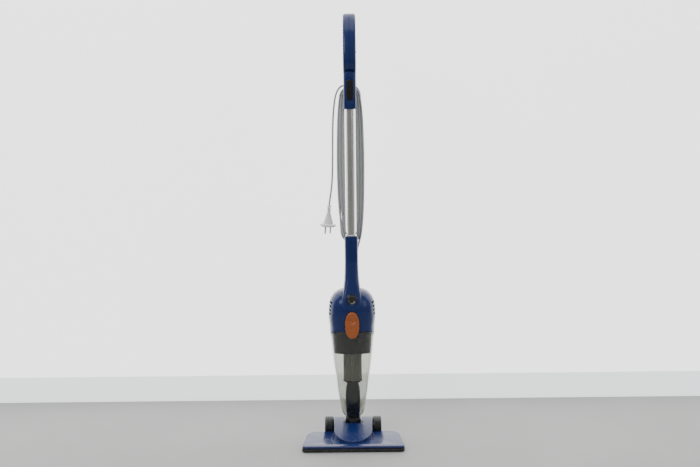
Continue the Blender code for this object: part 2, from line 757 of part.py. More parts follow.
def make_inlet_flap():
    """The flap rests on the slanting mouth and swings up about its own top edge."""
    thick = 0.0014
    along = (Vector(FLAP_TOP) - Vector(FLAP_LOW)).normalized()
    y, z = Vector(FLAP_TOP) + Vector((-along.y, along.x)) * (GAP + thick / 2)
    return seated(across_mouth("inlet_flap", 0.0160, GAP, GAP + thick, RUBBER, reach=0.0005), (0, y, z))


# ---------------------------------------------------------------- filter
FRAME_TOP = SEAM_Z - 0.0060
FRAME_LOW = FRAME_TOP - FRAME_DEPTH
FILTER_Y = BODY_Y + 0.0028


def centred_circle(radius, z, sides=FINE):
    return circle(radius, z, sides, (0.0, FILTER_Y))


def make_filter_frame():
    """The collar that hangs the filter in the cup's mouth."""
    outside, inside = CUP_WALL + 0.0005, CUP_WALL + 0.0028
    floor = 0.0022
    heights = cup_heights(FRAME_LOW, FRAME_TOP)
    outer = [cup_row(z, outside) for z in heights]
    inner = [cup_row(max(z, FRAME_LOW + floor), inside) for z in heights]
    hole = [centred_circle(MEDIA_RADIUS - 0.0014, z) for z in (FRAME_LOW + floor, FRAME_LOW)]
    hole.append(centred_circle(MEDIA_RADIUS + 0.0016, FRAME_LOW))
    return piece("filter_frame", skin(outer + inner[::-1] + hole, ring_closed=True), BLACK)


def make_cup_gasket():
    """The seal on the filter's collar, which the motor unit presses down."""
    low, high = FRAME_TOP + GAP + 0.0001, SEAM_Z - 0.0004
    outside, inside = CUP_WALL + 0.0005, CUP_WALL + 0.0028
    rows = [cup_row(low, outside), cup_row(high, outside), cup_row(high, inside), cup_row(low, inside)]
    return piece("cup_gasket", skin(rows, ring_closed=True), RUBBER)


def make_filter_media():
    top, low = FRAME_LOW - GAP, FRAME_LOW - GAP - MEDIA_HEIGHT
    rows = []
    for z in (low, top):
        rows.append(
            [
                (
                    (MEDIA_RADIUS - 0.004 * (i % 2)) * math.cos(math.pi * i / PLEATS),
                    FILTER_Y + (MEDIA_RADIUS - 0.004 * (i % 2)) * math.sin(math.pi * i / PLEATS),
                    z,
                )
                for i in range(2 * PLEATS)
            ]
        )
    inner = [centred_circle(MEDIA_RADIUS - 0.0060, z, 2 * PLEATS) for z in (top, low)]
    return piece("filter_media", skin(rows + inner, ring_closed=True), MEDIA)


def make_filter_cap():
    top = FRAME_LOW - MEDIA_HEIGHT - 2 * GAP
    rim = MEDIA_RADIUS + 0.0009
    profile = [(MEDIA_RADIUS - 0.0015, top - 0.0040), (rim, top - 0.0030), (rim, top)]
    return piece("filter_cap", turned(profile, FINE, bored=False), BLACK, (0, FILTER_Y, 0))


# ---------------------------------------------------------------- motor
def make_intake_plate():
    low, high, eye = HOUSING_Z + 0.0004, HOUSING_Z + 0.0036, 0.0200
    inset = HOUSING_WALL + 0.0052
    half, depth, _ = between(HOUSING_SHAPE, 0.0)
    rows = []
    for z in (low, high):
        deep = depth * BODY_DEPTH - inset
        rows.append(oval(half * BODY_HALF - inset, deep, deep, BODY_Y, z))
    rows += [circle(eye, z, FINE, (0.0, BODY_Y)) for z in (high, low)]
    return piece("intake_plate", skin(rows, ring_closed=True), BLACK)


FAN_LOW = HOUSING_Z + 0.0052
FAN_TOP = FAN_LOW + 0.0200
BASE_TOP = FAN_TOP + 0.0030
CAN_LOW = BASE_TOP + GAP
CAN_TOP = CAN_LOW + MOTOR_HEIGHT
ON_AXIS = (0.0, BODY_Y, 0.0)


def make_fan_cover():
    wall, eye = 0.0018, 0.0140
    profile = [
        (eye, FAN_LOW),
        (FAN_RADIUS, FAN_LOW),
        (FAN_RADIUS, FAN_TOP),
        (FAN_RADIUS - wall, FAN_TOP),
        (FAN_RADIUS - wall, FAN_LOW + wall),
        (eye, FAN_LOW + wall),
    ]
    return piece("fan_cover", turned(profile, MIDDLE), STEEL, ON_AXIS)


def make_impeller():
    radius, plate_low, plate_top = FAN_RADIUS - 0.0045, FAN_TOP - 0.0030, FAN_TOP - 0.0014
    bore = SHAFT_RADIUS + GAP
    profile = [
        (bore, FAN_LOW + 0.0040),
        (0.0080, FAN_LOW + 0.0050),
        (0.0095, plate_low),
        (radius, plate_low),
        (radius, plate_top),
        (bore, plate_top),
    ]
    fan = piece("impeller", turned(profile, MIDDLE), STEEL, ON_AXIS)
    for k in range(6):
        blade = block((0.0070, -0.0006, FAN_LOW + 0.0060), (radius - 0.002, 0.0006, plate_low + 0.0008))
        turn = Matrix.Rotation(2 * math.pi * (k + 0.25) / 6, 3, "Z")
        join(fan, piece(f"blade_{k}", blade, STEEL, ON_AXIS, turn))
    return fan


def make_motor_base():
    low, hole = FAN_TOP + GAP, 0.0083
    profile = [(hole, low), (FAN_RADIUS, low), (FAN_RADIUS, BASE_TOP), (hole, BASE_TOP)]
    return piece("motor_base", turned(profile, MIDDLE), BLACK, ON_AXIS)


def make_motor_can():
    wall, hole = 0.0012, 0.0076
    outer, inner = MOTOR_RADIUS, MOTOR_RADIUS - wall
    profile = [
        (outer, CAN_LOW),
        (outer, CAN_TOP),
        (hole, CAN_TOP),
        (hole, CAN_TOP - wall),
        (inner, CAN_TOP - wall),
        (inner, CAN_LOW),
    ]
    return piece("motor_can", turned(profile, MIDDLE), STEEL, ON_AXIS)


def make_motor_inside():
    """Stator, armature, shaft and the two bearings."""
    low, high = CAN_LOW + 0.0075, CAN_LOW + 0.0305
    stator_in, stator_out = MOTOR_RADIUS - 0.0110, MOTOR_RADIUS - 0.0018
    bore = SHAFT_RADIUS + GAP
    ring = [(stator_in, low), (stator_out, low), (stator_out, high), (stator_in, high)]
    piece("stator_core", turned(ring, MIDDLE), STEEL, ON_AXIS)
    core = stator_in - 0.0010
    neck = 0.0105
    armature = [
        (bore, low - 0.002),
        (core - 0.004, low - 0.002),
        (core, low + 0.001),
        (core, high - 0.001),
        (core - 0.004, high + 0.001),
        (neck, high + 0.002),
        (neck, CAN_TOP - 0.0035),
        (bore, CAN_TOP - 0.0035),
    ]
    piece("armature", turned(armature, MIDDLE), COPPER, ON_AXIS)
    shaft = [(SHAFT_RADIUS, FAN_LOW + 0.0045), (SHAFT_RADIUS, CAN_TOP + 0.0040)]
    piece("motor_shaft", turned(shaft, SMALL, bored=False), STEEL, ON_AXIS)
    races = (("bearing_lower", FAN_TOP + 0.0005, 0.0080), ("bearing_upper", CAN_TOP - 0.0016, 0.0073))
    for name, z, outside in races:
        race = [(bore, z), (outside, z), (outside, z + 0.0040), (bore, z + 0.0040)]
        piece(name, turned(race, MIDDLE), STEEL, ON_AXIS)


def make_motor_mount():
    inner, outer = MOTOR_RADIUS + GAP, MOTOR_RADIUS + 0.0055
    low, high = CAN_TOP - 0.0110, CAN_TOP - 0.0010
    profile = [(inner, low), (outer, low + 0.001), (outer, high - 0.001), (inner, high)]
    return piece("motor_mount", turned(profile, MIDDLE), RUBBER, ON_AXIS)


# ---------------------------------------------------------------- housing
def socket_solid(name, grow):
    """The tube socket's outer form, grown on all sides, for the holes it passes through."""
    heights = [SOCKET_TOP - drop for drop in SOCKET_DROPS]
    heights[0] -= grow
    rows = [socket_row(drop, -grow, z) for drop, z in zip(SOCKET_DROPS, heights)]
    return piece(name, skin(rows), BLUE)


def vent_cutter():
    """Rows of slots on both sides of the dome, as one shape."""
    bm = bmesh.new()
    for side in (-1, 1):
        for k in range(VENT_COUNT):
            z = HOUSING_TOP - 0.0295 - k * VENT_PITCH
            y = BODY_Y - 0.0205
            slot = block(
                (0.030, y - VENT_LENGTH / 2, z - VENT_HEIGHT / 2),
                (0.075, y + VENT_LENGTH / 2, z + VENT_HEIGHT / 2),
            )
            part = bpy.data.meshes.new("slot")
            slot.to_mesh(part)
            slot.free()
            if side < 0:
                part.transform(Matrix.Diagonal((-1, 1, 1, 1)))
                part.flip_normals()
            bm.from_mesh(part)
            bpy.data.meshes.remove(part)
    return piece("vent_cutter", bm, BLUE)


def make_housing():
    """Front and back shells of the dome over the motor."""
    wall = HOUSING_WALL
    neck = socket_solid("socket_hole_cutter", GAP)
    big, ears_z = 0.2, LATCH_PIVOT_Z
    for name, side in (("housing_front", -1), ("housing_rear", 1)):
        shell = piece(name, skin(housing_rows(wall, wall)[::-1] + housing_rows(0.0, 0.0)), BLUE)
        edge = BODY_Y + side * GAP / 2
        low_y, high_y = (edge, big) if side < 0 else (-big, edge)
        half = piece(f"{name}_cutter", block((-big, low_y, 0.0), (big, high_y, 1.0)), BLUE)
        if side < 0:
            cut(shell, latch_cutter("housing_latch_hole"), vent_cutter(), button_hole("housing_button_hole"))
            for hand in (-1, 1):
                ear = block(
                    (0.0070, latch_pivot_y() - 0.0042, ears_z - 0.0045),
                    (LATCH_HALF + 0.0055, latch_pivot_y() + 0.0028, ears_z + 0.0045),
                )
                ear.transform(Matrix.Diagonal((hand, 1, 1, 1)))
                join(shell, piece(f"latch_ear_{hand}", ear, BLUE))
            hole = rod(0.0012 + GAP, 2 * LATCH_HALF + 0.0010)
            cut(shell, piece("latch_pin_cutter", hole, BLUE, (0, latch_pivot_y(), LATCH_PIVOT_Z), ALONG_X))
        else:
            gland = rod(0.0052 + RUN, 0.1)
            cut(shell, piece("gland_cutter", gland, BLUE, (0, GLAND_Y, HOUSING_TOP)))
        cut(shell, half, neck)


def make_tube_socket():
    """The neck that holds the tube: a tapering shell whose front tongue lies on the dome."""
    outer = [socket_row(drop) for drop in SOCKET_DROPS]
    hollow_top = TUBE_GRIPPED + 0.0030
    inner_drops = [drop for drop in SOCKET_DROPS if drop > hollow_top] + [hollow_top]
    inner = [socket_row(drop, SOCKET_WALL) for drop in inner_drops]
    socket = piece("tube_socket", skin(inner[::-1] + outer), BLUE)
    bore = turned(
        [(TUBE_RADIUS + GAP, SOCKET_TOP - TUBE_GRIPPED - 0.0005), (TUBE_RADIUS + GAP, SOCKET_TOP + 0.05)],
        MIDDLE,
        bored=False,
    )
    cavity = piece("cavity_cutter", skin(housing_rows(HOUSING_WALL - GAP, HOUSING_WALL - GAP)), BLUE)
    below = block((-0.1, -0.1, SOCKET_TOP - 0.30), (0.1, 0.1, SOCKET_TOP - SOCKET_LENGTH + 0.0005))
    cut(
        socket,
        cavity,
        piece("socket_bore", bore, BLUE),
        piece("socket_end_cutter", below, BLUE),
        button_hole("socket_button_hole"),
    )
    return socket


def on_button_axis(name, profile, finish, bored):
    """A turned piece on the power button's axis: z = 0 on the surface and z > 0 outside it."""
    turn = Matrix.Rotation(math.radians(90) - BUTTON_TILT, 3, "X")
    spot = (0, socket_front_y(BUTTON_Z), BUTTON_Z)
    return piece(name, turned(profile, MIDDLE, bored), finish, spot, turn)


def button_hole(name):
    radius = BUTTON_RADIUS + 0.0034
    return on_button_axis(name, [(radius, -0.03), (radius, 0.02)], BLUE, False)


def button_axis_point(height):
    out = Vector((0, -math.cos(BUTTON_TILT), math.sin(BUTTON_TILT)))
    return Vector((0, socket_front_y(BUTTON_Z), BUTTON_Z)) + out * height


def make_power_button():
    inner, outer = BUTTON_RADIUS + GAP, BUTTON_RADIUS + 0.0031
    bezel = [(inner, -0.0050), (outer, -0.0050), (outer, 0.0008), (outer - 0.0010, 0.0018), (inner, 0.0012)]
    on_button_axis("button_bezel", bezel, BLACK, True)
    stem = 0.0036
    cap = [
        (stem, -0.0085),
        (stem, -0.0040),
        (BUTTON_RADIUS, -0.0040),
        (BUTTON_RADIUS, 0.0006),
        (BUTTON_RADIUS - 0.0012, 0.0014),
    ]
    on_button_axis("power_button", cap, BLACK, False)
    spring("power_spring", button_axis_point(-0.0043), button_axis_point(-0.0098), 0.0050, 0.0004, 3)
    back = button_axis_point(-0.0118)
    switch = block((-0.0095, back.y, back.z - 0.0115), (0.0095, back.y + 0.0140, back.z + 0.0115))
    piece("switch_block", switch, BLACK)


def latch_pivot_y():
    return BODY_FRONT_Y + 0.0087


def make_latch():
    """The rocking lever that holds the cup, on a pin behind it, with its return spring."""
    front = BODY_FRONT_Y - 0.0035

    plate_back = BODY_FRONT_Y + 0.0018
    rows = [
        latch_row(inset, y)
        for inset, y in (
            (0.009, front),
            (0.0025, front + 0.0006),
            (0.0004, front + 0.0022),
            (0.0004, plate_back),
        )
    ]
    lever = seated(piece("latch_lever", skin(rows), ORANGE), (0, latch_pivot_y(), LATCH_PIVOT_Z))
    lug = block(
        (-0.0060, plate_back - 0.001, LATCH_PIVOT_Z - 0.0035),
        (0.0060, latch_pivot_y() + 0.0028, LATCH_PIVOT_Z + 0.0035),
    )
    tooth_z = LATCH_Z - LATCH_HALF_HEIGHT + 0.0050
    tooth = block((-0.0050, plate_back - 0.001, tooth_z), (0.0050, plate_back + 0.0012, tooth_z + 0.0025))
    join(lever, piece("latch_lug", lug, ORANGE), piece("latch_tooth", tooth, ORANGE))
    hole = rod(0.0012 + GAP, 0.1)
    cut(lever, piece("lever_pin_cutter", hole, ORANGE, (0, latch_pivot_y(), LATCH_PIVOT_Z), ALONG_X))
    piece("latch_pin", rod(0.0012, 2 * LATCH_HALF), STEEL, (0, latch_pivot_y(), LATCH_PIVOT_Z), ALONG_X)
    spring_z = LATCH_PIVOT_Z + 0.0120
    spring(
        "latch_spring",
        (0, plate_back + GAP, spring_z),
        (0, BODY_Y - MOTOR_RADIUS - 2 * GAP, spring_z),
        0.0024,
        0.0004,
        5,
    )


GLAND_Y = 0.0410
GLAND_TOP = HOUSING_TOP + 0.0300


def make_strain_relief():
    profile = [
        (0.0052, HOUSING_TOP - 0.0085),
        (0.0052, HOUSING_TOP + 0.0012),
        (0.0068, HOUSING_TOP + 0.0014),
        (0.0068, HOUSING_TOP + 0.0030),
        (0.0048, HOUSING_TOP + 0.0040),
        (0.0034, GLAND_TOP),
    ]
    return piece("strain_relief", turned(profile, SMALL, bored=False), RUBBER, (0, GLAND_Y, 0))


# ---------------------------------------------------------------- tube and handle
def make_extension_tube():
    low, high = SOCKET_TOP - TUBE_GRIPPED, HANDLE_Z + TUBE_IN_HANDLE
    inner = TUBE_RADIUS - TUBE_WALL
    profile = [(inner, low), (TUBE_RADIUS, low), (TUBE_RADIUS, high), (inner, high)]
    return piece("extension_tube", turned(profile, MIDDLE), STEEL)


def grip_point(angle, thick, x):
    """A point of the loop: an angle round it, a distance out of its centreline, and X."""
    power = 2.25
    c, s = math.cos(angle), math.sin(angle)
    long, short = GRIP_LONG + thick, GRIP_SHORT + thick
    up = long * math.copysign(abs(c) ** (2 / power), c)
    back = short * math.copysign(abs(s) ** (2 / power), s)
    y = GRIP_Y + up * math.sin(GRIP_LEAN) + back * math.cos(GRIP_LEAN)
    z = GRIP_Z + up * math.cos(GRIP_LEAN) - back * math.sin(GRIP_LEAN)
    return (x, y, z)


def grip_loop(name, sections, finish):
    """A closed bar round the loop. Each section point is (distance out of the centreline, x)."""
    steps = 26
    rows = [
        [grip_point(2 * math.pi * i / steps, thick, x) for thick, x in sections]
        for i in range(steps)
    ]
    return piece(name, skin(rows, ring_closed=True), finish)


def make_grip():
    """Two shells that close on the middle plane to make the hand loop."""
    t, w, wall, lip = GRIP_BAR, GRIP_HALF - 0.0006, GRIP_WALL, 0.0030
    for name, side in (("grip_left", -1), ("grip_right", 1)):
        # The left half's lip reaches past the middle, inside a step in the right half.
        step, inner_end = (wall / 2, -lip) if side < 0 else (wall / 2 - GAP, lip + GAP)
        edge = [(t - wall, inner_end), (t - step, inner_end), (t - step, GAP / 2), (t, GAP / 2)]
        outer = [(t, w - 0.0054), (t - 0.0045, w), (-t + 0.0045, w), (-t, w - 0.0054)]
        inner = [(t - 0.0055, w - wall), (t - wall, w - 0.0064)]
        inner = [(-t + wall, w - 0.0064), (-t + 0.0055, w - wall)] + inner
        section = edge + outer + [(-a, x) for a, x in reversed(edge)] + inner
        grip_loop(name, [(a, side * x) for a, x in section], BLUE)
    angle = math.radians(90)
    spot = grip_point(angle, 0.0, GRIP_HALF - 0.0006 + GAP)
    screw = turned([(0.0030, 0.0), (0.0030, 0.0009), (0.0022, 0.0013)], 10, bored=False)
    piece("grip_screw", screw, STEEL, spot, Matrix.Rotation(math.radians(90), 3, "Y"))


def inset_outline(grow):
    """The oblong outline of the handle button, as (x, z)."""
    half, tall = INSET_HALF + grow, INSET_HALF_HEIGHT + grow
    middle = HANDLE_Z + INSET_RISE
    points = []
    for k in range(9):
        angle = math.pi * k / 8
        points.append((half * math.cos(angle), middle + tall - half + half * math.sin(angle)))
    for k in range(9):
        angle = math.pi + math.pi * k / 8
        points.append((half * math.cos(angle), middle - tall + half + half * math.sin(angle)))
    return points


HANDLE_FRONT_Y = -0.0178
HANDLE_BACK_Y = 0.0182


def make_handle_socket():
    """The block that clamps the tube and carries the loop, with an arched top."""
    middle, deep = (HANDLE_FRONT_Y + HANDLE_BACK_Y) / 2, (HANDLE_BACK_Y - HANDLE_FRONT_Y) / 2
    rows = []
    for inset, z in ((0.0015, HANDLE_Z), (0.0, HANDLE_Z + 0.0015), (0.0, HANDLE_TOP + 0.01)):
        rows.append(oval(HANDLE_HALF - inset, deep - inset, deep - inset, middle, z, power=4.0))
    socket = piece("handle_socket", skin(rows), BLUE)
    reach, rise = HANDLE_HALF + 0.0012, 0.0105
    arch = [(reach, HANDLE_Z - 0.01), (-reach, HANDLE_Z - 0.01)]
    for k in range(17):
        angle = math.pi * (1 - k / 16)
        arch.append((reach * math.cos(angle), HANDLE_TOP - rise + rise * math.sin(angle)))
    prism = skin([[(x, y, z) for x, z in arch] for y in (-0.05, 0.06)])
    boolean(socket, "INTERSECT", piece("handle_arch", prism, BLUE))
    t, w = GRIP_BAR + GAP, GRIP_HALF + 0.01
    loop = grip_loop("loop_cutter", [(t, -w), (t, w), (-t, w), (-t, -w)], BLUE)
    bore_top = HANDLE_Z + TUBE_IN_HANDLE + 0.0005
    bore = turned([(TUBE_RADIUS + GAP, HANDLE_Z - 0.01), (TUBE_RADIUS + GAP, bore_top)], MIDDLE, bored=False)
    floor_y = handle_button_back() + 0.0024
    recess = skin([[(x, y, z) for x, z in inset_outline(RUN)] for y in (-0.04, floor_y)])
    well = rod(0.0032, 0.012)
    well_y = handle_button_back() + 0.006
    cut(
        socket,
        loop,
        piece("handle_bore", bore, BLUE),
        piece("button_recess", recess, BLUE),
        piece("spring_well", well, BLUE, (0, well_y - 0.0022, handle_spring_z()), FACING_FRONT),
    )
    return socket


def handle_button_back():
    return HANDLE_FRONT_Y + 0.0030


def handle_spring_z():
    return HANDLE_Z + TUBE_IN_HANDLE + 0.0095


def make_handle_button():
    front = HANDLE_FRONT_Y - 0.0008
    levels = (
        (-0.0016, front),
        (-0.0002, front + 0.0010),
        (0.0, front + 0.0018),
        (0.0, handle_button_back()),
    )
    rows = [[(x, y, z) for x, z in inset_outline(inset)] for inset, y in levels]
    seated(piece("handle_button", skin(rows), BLACK), (0, front, HANDLE_Z + INSET_RISE))
    z = handle_spring_z()
    start = handle_button_back() + GAP
    spring("handle_spring", (0, start, z), (0, start + 0.0085, z), 0.0022, 0.0004, 3)


# ---------------------------------------------------------------- cord
def hook_outline(radius, z, up, stretch=1.0):
    """A part disc in X and Z: flat on the side that the cord never reaches."""
    points = []
    for k in range(13):
        angle = math.radians(10 + 160 * k / 12)
        points.append((radius * math.cos(angle), z + up * radius * math.sin(angle) * stretch))
    return points


def make_hook(name, z, up, root_y, tab, stretch):
    """A post for the winding with a root tab and a wider lip at its tip."""
    steps = (
        (HOOK_RADIUS + tab, root_y, stretch),
        (HOOK_RADIUS + tab, root_y + 0.0022, stretch),
        (HOOK_RADIUS, root_y + 0.0028, 1.0),
        (HOOK_RADIUS, WIND_BACK_Y + 0.0006, 1.0),
        (HOOK_RADIUS + 0.0067, WIND_BACK_Y + 0.0012, 1.0),
        (HOOK_RADIUS + 0.0067, WIND_BACK_Y + 0.0038, 1.0),
    )
    rows = [[(x, y, zz) for x, zz in hook_outline(r, z, up, s)] for r, y, s in steps]
    return piece(name, skin(rows), BLUE)


def winding_outline(low_radius, high_radius, bulge):
    """A long loop round both hooks: an arc at each end and sides that swell to the bulge."""
    points = []
    span = UPPER_HOOK_Z - LOWER_HOOK_Z
    for k in range(11):
        angle = math.pi * k / 10
        points.append((high_radius * math.cos(angle), UPPER_HOOK_Z + high_radius * math.sin(angle)))
    for share in (0.86, 0.66, 0.36, 0.16):
        points.append((-bulge, LOWER_HOOK_Z + span * share))
    for k in range(11):
        angle = math.pi + math.pi * k / 10
        points.append((low_radius * math.cos(angle), LOWER_HOOK_Z + low_radius * math.sin(angle)))
    for share in (0.16, 0.36, 0.66, 0.86):
        points.append((bulge, LOWER_HOOK_Z + span * share))
    return points


WIND_LOW_RADIUS = 0.0283
WIND_HIGH_RADIUS = 0.0290


def make_cord_winding():
    """The outer form of the cord wound round both hooks."""
    outer = winding_outline(WIND_LOW_RADIUS, WIND_HIGH_RADIUS, WIND_HALF)
    post = HOOK_RADIUS + 0.0005
    inner = winding_outline(post, post, post + 0.0005)
    rows = [[(x, y, z) for x, z in outer] for y in (WIND_FRONT_Y, WIND_BACK_Y)]
    rows += [[(x, y, z) for x, z in inner] for y in (WIND_BACK_Y, WIND_FRONT_Y)]
    return piece("cord_winding", skin(rows, ring_closed=True), CORD_GREY)


def lead_route():
    """From the strain relief up behind the tube socket to the winding's lower right."""
    low, high = GLAND_TOP + 0.0003, LOWER_HOOK_Z - 0.0225
    spots = (
        (0.0000, 0.0410, 0.00),
        (0.0004, 0.0412, 0.16),
        (0.0040, 0.0405, 0.37),
        (0.0105, 0.0375, 0.58),
        (0.0165, 0.0330, 0.79),
        (0.0209, 0.0288, 1.00),
    )
    return [(x, y, low + (high - low) * share) for x, y, share in spots]


# From the winding's upper left out and down to the plug, with Z from the upper hook.
TAIL_ROUTE = (
    (-0.0175, 0.0285, 0.0297),
    (-0.0255, 0.0285, 0.0252),
    (-0.0318, 0.0285, 0.0164),
    (-0.0362, 0.0286, 0.0048),
    (-0.0392, 0.0287, -0.0097),
    (-0.0420, 0.0288, -0.0339),
    (-0.0440, 0.0290, -0.0612),
    (-0.0451, 0.0292, -0.0964),
    (-0.0456, 0.0295, -0.1407),
    (-0.0463, 0.0298, -0.1872),
    (-0.0482, 0.0300, -0.2199),
    (-0.0510, 0.0300, -0.2424),
    (-0.0541, 0.0300, -0.2606),
    (-0.0560, 0.0300, -0.2752),
)


PLUG_TOP = Vector((-0.0560, 0.0300, UPPER_HOOK_Z - 0.2757))
PLUG_TURN = Matrix.Rotation(math.radians(4), 3, "Y") @ Matrix.Rotation(math.radians(48), 3, "Z")


def make_plug():
    """A round two-pin mains plug hanging from the cord, with a ribbed strain relief."""
    relief = [(0.0040, 0.0), (0.0060, -0.0018)]
    for groove in (0.0052, 0.0112, 0.0172):
        relief += [(0.0060, -groove), (0.0044, -groove - 0.0012)]
        relief += [(0.0044, -groove - 0.0034), (0.0062, -groove - 0.0046)]
    relief += [(0.0064, -0.0255)]
    body = [
        (0.0066, -0.0258),
        (0.0078, -0.0290),
        (0.0112, -0.0400),
        (0.0126, -0.0475),
        (0.0200, -0.0500),
        (0.0205, -0.0520),
        (0.0200, -0.0545),
        (0.0165, -0.0562),
    ]
    piece("plug_relief", turned(relief, SMALL, bored=False), PLUG_WHITE, PLUG_TOP, PLUG_TURN)
    piece("plug_body", turned(body, MIDDLE, bored=False), PLUG_WHITE, PLUG_TOP, PLUG_TURN)
    for name, side in (("plug_pin_left", -1), ("plug_pin_right", 1)):
        middle = PLUG_TOP + PLUG_TURN @ Vector((side * 0.0095, 0, -0.0565 - 0.0095))
        piece(name, rod(0.0024, 0.0190, 10), STEEL, middle, PLUG_TURN)


# ---------------------------------------------------------------- assembly
def main():
    clear_scene()
    make_head_base()
    make_sole_screws()
    make_brush_strips()
    make_bumper_strip()
    make_head_top_shell()
    make_yoke_cover()
    make_wheels()
    make_elbow()
    make_cup_shell()
    make_inlet_duct()
    make_inlet_flap()
    make_cup_gasket()
    make_filter_frame()
    make_filter_media()
    make_filter_cap()
    make_intake_plate()
    make_fan_cover()
    make_impeller()
    make_motor_base()
    make_motor_can()
    make_motor_inside()
    make_motor_mount()
    make_housing()
    make_tube_socket()
    make_power_button()
    make_latch()
    make_strain_relief()
    make_extension_tube()
    make_grip()
    make_handle_socket()
    make_handle_button()
    make_hook("upper_cord_hook", UPPER_HOOK_Z, 1, HANDLE_BACK_Y + GAP, 0.0037, 1.0)
    make_hook("lower_cord_hook", LOWER_HOOK_Z, -1, 0.0180 + GAP, 0.0, 2.6)
    make_cord_winding()
    cord_tube("cord_lead", lead_route())
    cord_tube("cord_tail", [(x, y, UPPER_HOOK_Z + z) for x, y, z in TAIL_ROUTE])
    make_plug()


main()
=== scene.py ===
import json
import math

import bpy
from mathutils import Matrix, Vector

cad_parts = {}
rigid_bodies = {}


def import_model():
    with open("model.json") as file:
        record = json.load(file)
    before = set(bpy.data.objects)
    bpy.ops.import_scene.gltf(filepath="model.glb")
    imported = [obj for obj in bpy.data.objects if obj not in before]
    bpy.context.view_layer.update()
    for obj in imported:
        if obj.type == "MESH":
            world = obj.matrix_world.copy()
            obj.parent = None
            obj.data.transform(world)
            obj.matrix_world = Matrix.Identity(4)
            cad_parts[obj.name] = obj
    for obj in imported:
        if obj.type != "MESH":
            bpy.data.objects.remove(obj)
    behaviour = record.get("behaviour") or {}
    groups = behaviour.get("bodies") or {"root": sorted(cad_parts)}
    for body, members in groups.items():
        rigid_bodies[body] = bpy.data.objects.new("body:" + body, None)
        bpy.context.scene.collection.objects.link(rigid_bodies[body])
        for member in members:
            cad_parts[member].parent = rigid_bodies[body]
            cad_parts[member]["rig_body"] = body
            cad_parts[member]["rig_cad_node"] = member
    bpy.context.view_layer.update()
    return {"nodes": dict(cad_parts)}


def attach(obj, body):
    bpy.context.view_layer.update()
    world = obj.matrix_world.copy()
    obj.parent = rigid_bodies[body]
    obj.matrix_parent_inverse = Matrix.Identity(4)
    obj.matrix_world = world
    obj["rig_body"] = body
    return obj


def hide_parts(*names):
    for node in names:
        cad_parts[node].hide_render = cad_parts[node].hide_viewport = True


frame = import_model()
nodes = frame["nodes"]
print("frame loaded:", len(nodes), "nodes")

# heights and places shared by several pieces, in metres
hingeY, hingeZ = 0.038, 0.0262
neckY, bodyY = 0.0325, 0.008
cupZ, cupHeight = 0.0575, 0.2296
domeZ, domeHeight = 0.2874, 0.1181
socketTop, socketLength = 0.546, 0.186
handleZ = 0.8687
lowerHookZ, upperHookZ = 0.5515, 0.8982
bodyHalf, bodyDepth = 0.0608, 0.058
seamSlope = 0.344
latchZ = 0.3224
buttonZ, buttonTilt = 0.388, math.radians(13)
buttonY = -0.0444
across = Matrix.Rotation(math.pi / 2, 3, "Y")
facingFront = Matrix.Rotation(math.pi / 2, 3, "X")


# tools used by every piece
def editMode():
    bpy.ops.object.mode_set(mode="EDIT")


def objectMode():
    bpy.ops.object.mode_set(mode="OBJECT")


def editAll():
    editMode()
    bpy.ops.mesh.select_all(action="SELECT")


def pick(*objs):
    if bpy.context.object and bpy.context.object.mode != "OBJECT":
        objectMode()
    bpy.ops.object.select_all(action="DESELECT")
    for obj in objs:
        obj.select_set(True)
    if objs:
        bpy.context.view_layer.objects.active = objs[0]


def applyModifiers(obj):
    pick(obj)
    for change in list(obj.modifiers):
        bpy.ops.object.modifier_apply(modifier=change.name)


def cutWith(obj, *cutters, operation="DIFFERENCE"):
    for cutter in cutters:
        change = obj.modifiers.new("cut", "BOOLEAN")
        change.operation = operation
        change.object = cutter
        change.solver = "EXACT"
        applyModifiers(obj)
        bpy.data.objects.remove(cutter)
    return obj


def softenEdges(obj, width, segments=3, angle=32):
    change = obj.modifiers.new("soften", "BEVEL")
    change.width = width
    change.segments = segments
    change.limit_method = "ANGLE"
    change.angle_limit = math.radians(angle)
    change.miter_outer = "MITER_ARC"
    applyModifiers(obj)
    return obj


def superRound(obj, power):
    # pushes a unit circle out towards a square
    for v in obj.data.vertices:
        angle = math.atan2(v.co.y, v.co.x)
        c, s = math.cos(angle), math.sin(angle)
        v.co.x = math.copysign(abs(c) ** (2 / power), c)
        v.co.y = math.copysign(abs(s) ** (2 / power), s)


def roundStack(name, rings, sides=96, power=2.0, filled=False):
    # rings are (z, half width, half depth, middle y); each one is extruded from the last
    pick()
    z, half, deep, middle = rings[0]
    fill = "NGON" if filled else "NOTHING"
    bpy.ops.mesh.primitive_circle_add(vertices=sides, radius=1.0, fill_type=fill)
    obj = bpy.context.object
    obj.name = name
    superRound(obj, power)
    editAll()
    bpy.ops.transform.resize(value=(half, deep, 1), center_override=(0, 0, 0))
    bpy.ops.transform.translate(value=(0, middle, z))
    for z2, half2, deep2, middle2 in rings[1:]:
        bpy.ops.mesh.extrude_region_move(TRANSFORM_OT_translate={"value": (0, middle2 - middle, z2 - z)})
        bpy.ops.transform.resize(value=(half2 / half, deep2 / deep, 1), center_override=(0, middle2, z2))
        z, half, deep, middle = z2, half2, deep2, middle2
    objectMode()
    return obj


def faceOut(obj):
    pick(obj)
    editAll()
    bpy.ops.mesh.remove_doubles(threshold=1e-6)
    bpy.ops.mesh.normals_make_consistent(inside=False)
    objectMode()
    return obj


def turnedPiece(name, profile, sides=64, ring=False):
    # profile is (radius, z); a ring's last point joins its first
    points = list(profile) + ([profile[0]] if ring else [])
    obj = roundStack(name, [(z, r, r, 0.0) for r, z in points], sides, 2.0, filled=not ring)
    return faceOut(obj)


def placed(obj, place, turn=None):
    matrix = Matrix.Translation(place)
    if turn is not None:
        matrix = matrix @ turn.to_4x4()
    obj.data.transform(matrix)
    return obj


